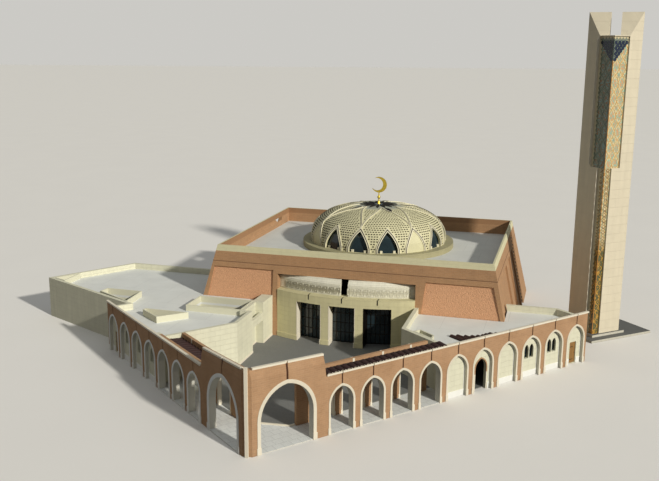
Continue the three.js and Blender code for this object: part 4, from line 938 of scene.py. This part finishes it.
class MOSQUE_OT_bay_infill(bpy.types.Operator):
    """Plinth bands, inner lines and window frames of the closed bays, and the arch round the open doorway"""

    bl_idname = "mosque.bay_infill"
    bl_label = "Closed bays"

    def execute(self, context):
        half = SMALL[0] - 0.012
        foot = sizes().foot
        band = ((0, foot), (SCREEN - 0.03, SCREEN + 0.01))
        # The plain bays, those with an opening and half its width, and those with a pair of lancets
        for side, plain, opened, lancets in (
            ("right", [5, 7, 8, 9], {6: 0.5, 10: 0.29}, [8, 9]), ("left", [4, 5, 6], {7: 0.29}, [4, 5, 6]),
        ):
            first = bay_centre(side, plain[0])
            parts = [each_bay(wall_blocks(side, first, [(-half, half)], *band), side, plain)]
            for bay, edge in opened.items():
                parts += wall_blocks(side, bay_centre(side, bay), both_sides(edge, half), *band)
            line = wall_plate(side, first, arch_ring(SMALL, -0.03, -0.065, foot), 0.165, 0.185)
            parts.append(each_bay([line], side, sorted([*plain, *opened])))
            # Bands and lines take the bluish white of stone in shade: painted shade
            finished(f"{side}_bay_infill", parts, "shade_blue_limestone")

            # Each lancet has a frame, an upright bar and two level ones
            outlines = [
                (arch_ring(LANCET, -0.004, -0.022, LANCET_SILL), 0.3, 0.34),
                (box_outline(-0.009, 0.009, LANCET_SILL, LANCET[2] - 0.02), 0.3, 0.335),
            ]
            bar = LANCET[0] - 0.006
            for height in (1.3, LANCET[1]):
                outlines.append((box_outline(-bar, bar, height - 0.007, height + 0.007), 0.305, 0.335))
            middles = [bay_centre(side, lancets[0]) + sign * LANCET_OFFSET for sign in (-1, 1)]
            frames = [wall_plate(side, middle, *outline) for middle in middles for outline in outlines]
            finished(f"{side}_lancet_frames", [each_bay(frames, side, lancets)], "dark_bronze")

        centre = bay_centre("right", 6)
        spring, depths = 0.95, (0.15, 0.2)
        arch = softened(wall_plate("right", centre, arch_ring(DOORWAY, 0.06, -0.01, spring), *depths))
        finished("doorway_brick_arch", [arch], "arcade_brick")
        legs = both_sides(DOORWAY[0] - 0.01, DOORWAY[0] + 0.06)
        legs = wall_blocks("right", centre, legs, (0, spring), depths)
        finished("doorway_legs", legs, "white_limestone")
        return {"FINISHED"}


class MOSQUE_OT_walk_roofs(bpy.types.Operator):
    """Barrel tiles of the roofs over the two walks, and a patch of them on the right wing"""

    bl_idname = "mosque.walk_roofs"
    bl_label = "Barrel tiles"

    def execute(self, context):
        size = sizes()
        # The right walk's tiles rise from the wall's coping to a ridge, and the left walk's roof lies low
        # behind its wall. A course is the depth and bed height of its lower and its upper end
        steps, back = 4, 1.61
        for side, eaves, ridge, fall, rise in (
            ("right", [((-0.03, 2.98), (0.45, 3.03))], (0.43, 3.02), 0.6, size.tile_rise),
            ("left", [], (0.37, 2.45), 0.12, 0.1),
        ):
            ends = [((i + 1) / steps, max(i / steps - 0.04, 0.0)) for i in range(steps)]
            rows = [[(ridge[0] + (back - ridge[0]) * t, ridge[1] - fall * t) for t in span] for span in ends]
            run = TILES_END[side] - STARTS[side]
            count = round(run / size.tile_pitch)
            pitch = run / count
            half_circle = around(7, math.pi / 6)
            outline = [(x * 0.42 * pitch, z * rise) for x, z in half_circle]
            outline += [(x * 0.34 * pitch, z * (rise - 0.02) - 0.004) for x, z in half_circle[::-1]]
            middle = STARTS[side] + pitch / 2
            tiles = []
            for (low, low_bed), (high, high_bed) in eaves + rows:
                low_bed += 0.016
                foot = [side_at(side, middle + x, low, low_bed + z) for x, z in outline]
                tiles.append(plate(foot, side_at(side, 0, high, high_bed) - side_at(side, 0, low, low_bed)))
            row = joined(tiles)
            repeated(row, count, side_at(side, pitch, 0, 0) - side_at(side, 0, 0, 0))
            finished(f"{side}_barrel_tiles", [row], "barrel_clay", smooth=40)

        # A small patch of the same tiles lies on the right wing's roof, longest at its left end
        near, bed = 0.6, 2.25
        parts = []
        for i, tip in enumerate((2.6, 2.42, 2.12, 1.92, 1.78, 1.7, 1.74, 1.74, 1.56)):
            along = 14.16 + 0.29 * i
            arch = [(along + 0.14 * x, bed + 0.13 * z) for x, z in around(6, math.pi / 5)]
            parts.append(plate([RIGHT @ Vector((x, tip, z)) for x, z in arch], Vector((0, near - tip, 0.04))))
        plan = [(14.02, near), (16.62, near), (16.6, 1.45), (15.2, 1.6), (14.04, 2.45)]
        parts.append(plan_plate(RIGHT, plan, bed - 0.005, bed + 0.03))
        finished("wing_barrel_tiles", parts, "barrel_clay")
        return {"FINISHED"}


class MOSQUE_OT_inner_arcades(bpy.types.Operator):
    """Linings, trims and white strips of the inner arcades, and the kerbs and skirtings of the court"""

    bl_idname = "mosque.inner_arcades"
    bl_label = "Inner arcades and court"

    def execute(self, context):
        for side, bays, top in (("right", [1, 2, 3, 4], 2.76), ("left", [1, 2, 3], 2.66)):
            middle = bay_centre(side, 1)
            lining, trim, front_trim = [arch_ring(INNER, grow, -0.012) for grow in (0.004, 0.07, 0.05)]
            post = box_outline(-0.06, 0.06, 2.3, top + 0.004)
            parts = [wall_plate(side, middle, *part) for part in (
                (lining, INNER_FACE, INNER_BACK),
                (trim, INNER_BACK - 0.01, INNER_BACK + 0.02),
                (front_trim, INNER_FACE - 0.02, INNER_FACE + 0.01),
                (post, INNER_FACE - 0.014, INNER_FACE + 0.01),
                (post, INNER_BACK - 0.01, INNER_BACK + 0.014),
            )]
            depths = (INNER_FACE - 0.03, INNER_FACE + 0.01)
            parts += wall_blocks(side, middle, both_sides(0.63, 0.74), (0, 0.24), depths)
            finished(f"{side}_inner_trims", [each_bay(parts, side, bays)], "white_limestone")

        kerb = [
            (3.612, 1.81), (3.363, 1.81), (1.81, 3.363), (1.81, 3.672),
            (1.7, 3.672), (1.7, 3.317), (3.317, 1.7), (3.612, 1.7),
        ]
        kerb = softened(plan_plate(RIGHT, kerb, 0.03, 0.1), 0.01)
        finished("court_kerb", [kerb], "white_limestone")

        heights = (0.06, 0.07 + sizes().skirting)
        lines = [plan_plate(RIGHT, [(1.83, 9.965), (4.93, 9.965), (4.95, 9.995), (1.83, 9.995)], *heights)]
        for u, start, end in ((3.64, -5.87, -3.57), (3.16, -3.55, -1.79), (3.64, -1.77, -0.2)):
            lines.append(plan_plate(HALL, box_outline(u - 0.005, u + 0.025, start, end), *heights))
        finished("court_skirting", lines, "white_limestone")
        return {"FINISHED"}


class MOSQUE_OT_doors(bpy.types.Operator):
    """Boards, straps and ring handles of the two wooden doors"""

    bl_idname = "mosque.doors"
    bl_label = "Doors"

    def execute(self, context):
        count, edge, joint = 5, 0.25, 0.003
        for side, bay in (("right", 10), ("left", 7)):
            centre = bay_centre(side, bay)
            body = f"{side}_door_leaf"
            boards = []
            # The inner boards stop short of the hinge, to clear the jamb when the leaf stands open
            for start, near, far in ((-edge, 0.23, 0.242), (-0.11, 0.298, 0.31)):
                width = (edge - start) / count
                spans = [(start + width * i + joint, start + width * (i + 1) - joint) for i in range(count)]
                boards += wall_blocks(side, centre, spans, (0.06, 1.28), (near, far), 0.004)
            finished(f"{side}_door_boards", boards, "oiled_boards", body)
            irons = []
            strap = [(-0.24, -0.02), (0.08, -0.014), (0.12, 0.0), (0.08, 0.014), (-0.24, 0.02)]
            for height in (0.25, 1.0):
                outline = [(x, height + z) for x, z in strap]
                irons.append(softened(wall_plate(side, centre, outline, 0.224, 0.231), 0.002))
            upright = SIDES[side].to_3x3().to_4x4() @ Matrix.Rotation(math.radians(90), 4, "X")
            place = Matrix.Translation(side_at(side, centre + 0.2, 0.222, 0.62)) @ upright
            ring = [(0.026 + 0.004 * x, 0.004 * z) for x, z in around(6, math.pi / 3)]
            irons.append(turned(ring, place, 20))
            rose = [(0.0015, 0.008), (0.014, 0.008), (0.02, 0.0), (0.02, -0.008), (0.0015, -0.008)]
            irons.append(turned(rose, Matrix.Translation((0, 0, 0.026)) @ place, 16))
            finished(f"{side}_door_irons", irons, "dark_bronze", body, smooth=40)
        return {"FINISHED"}


class MOSQUE_OT_entrance(bpy.types.Operator):
    """Plinth blocks, slots, linings and glazing bars of the curved entrance, and its band's ornament"""

    bl_idname = "mosque.entrance"
    bl_label = "Entrance"

    def execute(self, context):
        # Radii of the wall's outer face, of the bars' backs at the glass and of the portals' recess
        wall, glass, recess = 10.99, 10.085, 10.13
        piers = [(-4.37, -2.93), (-1.33, -0.8), (0.8, 1.33), (2.93, 4.26)]
        blocks = [softened(entrance_strip(*pier, wall + 0.04, 10.1, 0.07, 0.37), 0.01) for pier in piers]
        finished("entrance_plinths", blocks, "warm_limestone")
        # Each slot in the band is a black bar: painted shade of the slot
        slots = [entrance_strip(u - 0.038, u + 0.038, wall - 0.02, 10.6, 2.77, 3.05, 1) for u in PORTALS]
        finished("portal_slots", slots, "black_shade_slot")

        linings, dark_linings = [], []
        for middle in PORTALS:
            for jamb, base in zip(both_sides(0.79, 0.822), both_sides(0.74, 0.822)):
                jamb, base = [[middle + u for u in span] for span in (jamb, base)]
                lining = entrance_strip(*jamb, wall, recess, 0.072, 2.538, 1)
                # The right portal's frame is dark, and the others have stone jambs with a base block
                if middle > 0:
                    dark_linings.append(lining)
                else:
                    block = softened(entrance_strip(*base, wall + 0.03, 10.45, 0.072, 0.36, 1), 0.008)
                    linings += [lining, block]
        finished("portal_linings", linings, "white_limestone")
        finished("portal_frame", dark_linings, "dark_bronze")
        bars = []
        for middle in PORTALS:
            for u in [middle + offset for offset in (-0.77, -0.53, -0.27, 0, 0.27, 0.53, 0.77)]:
                bars.append(entrance_strip(u - 0.011, u + 0.011, recess, glass, 0.08, 2.54, 1))
            span = (middle - 0.785, middle + 0.785)
            for z in (0.1, 0.7, 1.3, 1.9, 2.49):
                bars.append(entrance_strip(*span, recess - 0.01, glass, z, z + 0.022))
        finished("portal_bars", bars, "dark_bronze")

        # Generic ornament: a running fret of upright bars, coloured darker than the band as painted shade of
        # a cut relief: dark on the left half, which stands in shade, and pale on the right half, lit by the
        # sun
        face = 10.45
        uprights = [
            (-0.2, 0.0, 0.4), (-0.12, 0.1, 0.3), (-0.04, 0.0, 0.4), (0.04, 0.12, 0.4), (0.12, 0.0, 0.26),
            (0.19, 0.1, 0.4),
        ]
        outlines = [box_outline(x - 0.016, x + 0.016, z0, z1) for x, z0, z1 in uprights]
        for level in ((-0.2, -0.04, 0.0, 0.03), (0.04, 0.19, 0.37, 0.4), (-0.12, 0.12, 0.24, 0.27)):
            outlines.append(box_outline(*level))
        corners = [[Vector((x, -0.02, z)) for x, z in outline] for outline in outlines]
        raised = Matrix.Translation((0, -face, 3.17))
        for name, turns, stone in (
            ("band_ornament_left", range(-9, 0), "shaded_fret_stone"),
            ("band_ornament_right", range(1, 10), "sunlit_fret_stone"),
        ):
            fret = joined([plate(outline, Vector((0, 0.03, 0))) for outline in corners])
            places = [ENTRANCE @ Matrix.Rotation(math.radians(2.32 * i), 4, "Z") @ raised for i in turns]
            finished(name, [stamped(fret, places)], stone)
        lines = []
        for span in ((-4.3, -0.26), (0.26, 4.22)):
            for z in (3.11, 3.66):
                lines.append(entrance_strip(*span, face + 0.018, face - 0.02, z, z + 0.03, 16))
        finished("band_lines", lines, "band_stone")
        return {"FINISHED"}


class MOSQUE_OT_hall(bpy.types.Operator):
    """Groove line round the prayer hall and the dark louvre in its right wall"""

    bl_idname = "mosque.hall"
    bl_label = "Hall walls"

    def execute(self, context):
        # The walls lean in, so the line follows their corners at its own height, a little outside them
        height, deep, grow = 4.54, 0.04, 0.01
        rest = 1 - (height + 0.02) / HALL_SIZE[2]
        left, right = -LEAN["left"] * rest - grow, HALL_SIZE[0] + LEAN["right"] * rest + grow
        front, back = -LEAN["front"] * rest - grow, HALL_SIZE[1] + LEAN["back"] * rest + grow
        start, end, top = LOUVRE
        # The groove is a dark brown plate on the walls: painted shade of the groove
        lines = [plan_plate(HALL, box_outline(*run), height, height + deep) for run in (
            (left, right, front, front + deep), (left, left + deep, front, back),
            (left, right, back - deep, back), (right - deep, right, front, start - 0.01),
            (right - deep, right, end + 0.01, back),
        )]
        finished("hall_groove", lines, "groove_shade_brown")

        slope = LEAN["right"] / HALL_SIZE[2]
        foot = HALL_SIZE[0] + LEAN["right"]

        def in_louvre(profile):
            """A profile of depth in the leaning wall and height, drawn across the recess."""
            corners = [HALL @ Vector((foot - slope * z - depth, start + 0.01, z)) for depth, z in profile]
            return plate(corners, HALL.to_3x3() @ Vector((0, end - start - 0.02, 0)))

        gap, spacing = 0.01, 0.25
        rise = top - gap
        panel = in_louvre([(0.285, 0), (0.285 + slope * gap, rise), (0.25 + slope * gap, rise), (0.25, 0)])
        blade = [(0.16, 0.0), (0.04, -0.05), (0.03, -0.035), (0.15, 0.015)]
        blade = in_louvre([(depth - slope * z, spacing + z) for depth, z in blade])
        step = HALL.to_3x3() @ Vector((-slope * spacing, 0, spacing))
        finished("hall_louvre", [panel, repeated(blade, 19, step)], "dark_bronze")
        return {"FINISHED"}


# The big ribs: a window at whose point two ribs start, and the windows over which they end
RIBS = [(0, -1), (0, 1), (2, 1), (2, 3), (4, 3), (4, 5), (6, 5), (6, 7), (8, 7), (-2, -1), (-2, -3),
        (-4, -3), (-4, -5), (-6, -5)]
RIB_TOP = 1.25
RIB_FOOT = dome_radius(1.47)


def rib_point(rib, t):
    """Bearing and radius of a point of a rib, from its foot at 0 to its top at 1."""
    start, end = (FIRST_WINDOW + WINDOW_STEP * i for i in rib)
    return start + (end - start) * t**1.5, RIB_FOOT + (RIB_TOP - RIB_FOOT) * t


def dome_strip(line, edges, lift, thickness):
    """A strip on the dome along bearings and radii, between two edges given as distances across the line."""
    edges = [[on_dome(a + across / r, r, lift) for (a, r), across in zip(line, edge)] for edge in edges]
    return strip(*edges, thickness)


class MOSQUE_OT_dome(bpy.types.Operator):
    """Window surrounds, ribs, rows of small holes, dark leaves and cap of the dome, and its foot blocks"""

    bl_idname = "mosque.dome"
    bl_label = "Dome pattern"

    def execute(self, context):
        size = sizes()
        lines, groove_shades = [], []
        windows = [FIRST_WINDOW + WINDOW_STEP * i for i in range(DOME_WINDOWS)]
        for angle in windows:
            # Each window has two raised lines round it with a dark strip between them: painted shade of a
            # groove
            for near, far, lift, thickness, pieces in (
                (-0.006, 0.045, 0.012, 0.05, lines), (0.1, 0.1 + size.dome_line, 0.012, 0.05, lines),
                (0.04, 0.105, 0.0, 0.03, groove_shades),
            ):
                edges = [window_edge(angle, grow, lift) for grow in (near, far)]
                pieces.append(strip(*edges, thickness))
        half = size.dome_line / 3.6
        steps = 14
        for rib in RIBS:
            path = [rib_point(rib, t / steps) for t in range(steps + 1)]
            # Two raised lines with a dark strip between them, painted shade of a groove
            for offset, reach, lift, pieces in (
                (-0.032, half, 0.014, lines), (0.032, half, 0.014, lines), (0.0, 0.014, 0.004, groove_shades),
            ):
                edges = [[offset + side] * len(path) for side in (-reach, reach)]
                pieces.append(dome_strip(path, edges, lift, 0.05))
        finished("dome_lines", lines, "dome_line_stone", smooth=40)
        finished("dome_groove_shades", groove_shades, "shadow_joint", smooth=40)

        # Small holes in rows from the foot up, smaller towards the crown, clear of windows and ribs; each
        # hole is a dark plate, painted shade
        corners = box_outline(-0.047, 0.047, -0.03, 0.03)
        dot = plate([Vector((x, y, -0.012)) for x, y in corners], Vector((0, 0, 0.018)))
        places = []
        crown, height, row = 1.85, 0.12, 0
        radius = dome_radius(height)
        ribs = [rib_point(rib, t / 24) for rib in RIBS for t in range(25)]
        while radius > crown:
            count = round(2 * math.pi * radius / size.dot_pitch)
            for i in range(count):
                angle = 2 * math.pi * (i + 0.5 * (row % 2)) / count
                if self.clear_of_lines(angle, radius, height, ribs):
                    grown = Matrix.Scale(0.8 + 0.11 * (radius - crown), 4)
                    places.append(self.dot_place(angle, radius, height) @ grown)
            row += 1
            height, radius = self.next_row(height, radius, size.dot_pitch * 0.86)
        finished("dome_dots", [stamped(dot, places)], "shadow_joint")

        # An inner leaf between every two windows, and an outer one over every third of them, framed and
        # with a midrib. The leaves are black plates: painted shade of recesses in the dome
        leaves, frames = [], []
        steps, thin, reach = 8, 0.003, 1.0
        for i, angle in enumerate(windows):
            angle += WINDOW_STEP / 2
            for start, half, midrib in [(0.3, 0.1, 0.0)] + ([(1.38, 0.2, 0.08)] if i % 3 == 1 else []):
                line = [(angle, start + reach * t / steps) for t in range(steps + 1)]
                belly = [half * math.sin(math.pi * t / steps) ** 0.8 + thin for t in range(1, steps)]
                widths = [thin, *belly, thin]
                for shares in ((midrib, 1.0), (-1.0, -midrib)):
                    edges = [[share * width for width in widths] for share in shares]
                    leaves.append(dome_strip(line, edges, 0.01, 0.04))
                for side in (-1, 1) if midrib else ():
                    edges = [[side * (width + grow) for width in widths] for grow in (0.0, 0.02)]
                    frames.append(dome_strip(line, edges, 0.012, 0.04))
        finished("dome_leaves", leaves, "black_shade_slot", smooth=40)
        finished("dome_leaf_frames", frames, "dome_line_stone", smooth=40)
        cap = [(0.1, 2.43), (0.27, 2.425), (0.3, 2.41), (0.3, 2.37), (0.1, 2.36)]
        finished("dome_cap", [turned(cap, DOME, 48)], "zinc_sheet", smooth=40)

        blocks = []
        for i, angle in enumerate(windows):
            place = DOME @ Matrix.Rotation(angle, 4, "Z")
            for across in () if i in BLANK_WINDOWS else (-0.42, 0.42):
                outline = box_outline(4.36, 4.48, across - 0.08, across + 0.08)
                blocks.append(softened(plan_plate(place, outline, 0.0, 0.16), 0.01))
        finished("dome_sill_blocks", blocks, "dome_line_stone")
        return {"FINISHED"}

    @staticmethod
    def next_row(height, radius, step):
        """The height and radius one step further up the dome's curve."""
        while step > 0:
            normal = dome_normal(radius, 0, height)
            height += normal.x * 0.01
            radius -= normal.z * 0.01
            step -= 0.01
        return (height, dome_radius(height)) if normal.x > normal.z else (dome_height(radius), radius)

    @staticmethod
    def clear_of_lines(angle, radius, height, ribs):
        """Whether a hole stays clear of the window surrounds and of points along the ribs."""
        nearest = round((angle - FIRST_WINDOW) / WINDOW_STEP)
        for window in (nearest - 1, nearest, nearest + 1):
            across = radius * math.sin(angle - FIRST_WINDOW - WINDOW_STEP * window)
            if abs(across) < 1.2 and within_arch(across, height, DOME_WINDOW, 0.21):
                return False
        for rib_angle, rib_radius in ribs:
            turn = (angle - rib_angle + math.pi) % (2 * math.pi) - math.pi
            if abs(rib_radius - radius) < 0.14 and abs(turn) * radius < 0.13:
                return False
        return True

    @staticmethod
    def dot_place(angle, radius, height):
        x, y = radius * math.cos(angle), radius * math.sin(angle)
        normal = dome_normal(x, y, height)
        sideways = Vector((-math.sin(angle), math.cos(angle), 0))
        turn = Matrix((sideways, normal.cross(sideways), normal)).transposed().to_4x4()
        return DOME @ Matrix.Translation((x, y, height)) @ turn


class MOSQUE_OT_minaret(bpy.types.Operator):
    """Raised blue discs of the minaret's mosaic, and the pale jagged strip along its left edge"""

    bl_idname = "mosque.minaret"
    bl_label = "Minaret"

    def execute(self, context):
        # Rows of discs hang from the crest on both faces and come to a point at the corner edge
        face, top, drop = -MOSAIC_CORNER, 18.03, 0.16
        pitch, rows, span, narrowing = 0.27, 7, 1.12, 0.14
        upright = Matrix.Rotation(math.radians(90), 4, "X")
        places = []
        for turned_face in (False, True):
            for row in range(rows):
                for i in range(rows):
                    across = pitch * (i + (0.5 if row % 2 == 0 else 0.97))
                    if across > span - narrowing * row:
                        continue
                    spot = (face + across, face, top - drop * row)
                    turn = upright
                    if turned_face:
                        spot = (face, face + across, top - drop * row)
                        turn = Matrix.Rotation(math.radians(-90), 4, "Z") @ upright
                    places.append(MINARET @ Matrix.Translation(spot) @ turn)
        for name, radius, height, material in (
            ("minaret_disc_rims", 0.128, 0.012, "pale_glaze"), ("minaret_discs", 0.116, 0.022, "blue_glaze"),
        ):
            outline = [Vector((radius * x, radius * y, -0.004)) for x, y in around(12, math.pi / 6)]
            finished(name, [stamped(plate(outline, Vector((0, 0, height))), places)], material)

        # The strip stands proud of the wide and the narrow part, by a tooth every 0.28 m
        inner = -1.08
        teeth = []
        for across, low, high, out in ((0.1, 10.7, 18.36, 1.235), (-0.54, 0.2, 10.6, 1.16)):
            count = round((high - low) / 0.28)
            step = (high - low) / count
            outline = [(inner, low), (inner, high)]
            outline += [(-out - 0.03 * (i % 2), high - step * (i + 0.5)) for i in range(count)]
            corners = [MINARET @ Vector((x, across, z)) for x, z in outline]
            teeth.append(plate(corners, MINARET.to_3x3() @ Vector((0, 0.035, 0))))
        finished("mosaic_edge", teeth, "white_limestone")
        return {"FINISHED"}


OPERATORS = [
    MOSQUE_OT_finishes, MOSQUE_OT_stage, MOSQUE_OT_arch_trims, MOSQUE_OT_bay_infill, MOSQUE_OT_walk_roofs,
    MOSQUE_OT_inner_arcades, MOSQUE_OT_doors, MOSQUE_OT_entrance, MOSQUE_OT_hall, MOSQUE_OT_dome,
    MOSQUE_OT_minaret,
]


class MOSQUE_PT_panel(bpy.types.Panel):
    """Lists the steps that dress the mosque, and its sizes and colours"""

    bl_idname = "MOSQUE_PT_panel"
    bl_label = "Mosque"
    bl_space_type = "VIEW_3D"
    bl_region_type = "UI"
    bl_category = "Mosque"

    def draw(self, context):
        for step in OPERATORS:
            self.layout.operator(step.bl_idname)
        for group in (context.scene.mosque_sizes, context.scene.mosque_colours):
            for name in group.__annotations__:
                self.layout.prop(group, name)


CLASSES = [MosqueSizes, MosqueColours, *OPERATORS, MOSQUE_PT_panel]


def register():
    for item in CLASSES:
        bpy.utils.register_class(item)
    bpy.types.Scene.mosque_sizes = bpy.props.PointerProperty(type=MosqueSizes)
    bpy.types.Scene.mosque_colours = bpy.props.PointerProperty(type=MosqueColours)


def unregister():
    del bpy.types.Scene.mosque_sizes
    del bpy.types.Scene.mosque_colours
    for item in reversed(CLASSES):
        bpy.utils.unregister_class(item)


def main():
    register()
    for step in OPERATORS:
        group, name = step.bl_idname.split(".")
        getattr(getattr(bpy.ops, group), name)()
    clear()


if __name__ == "__main__":
    main()
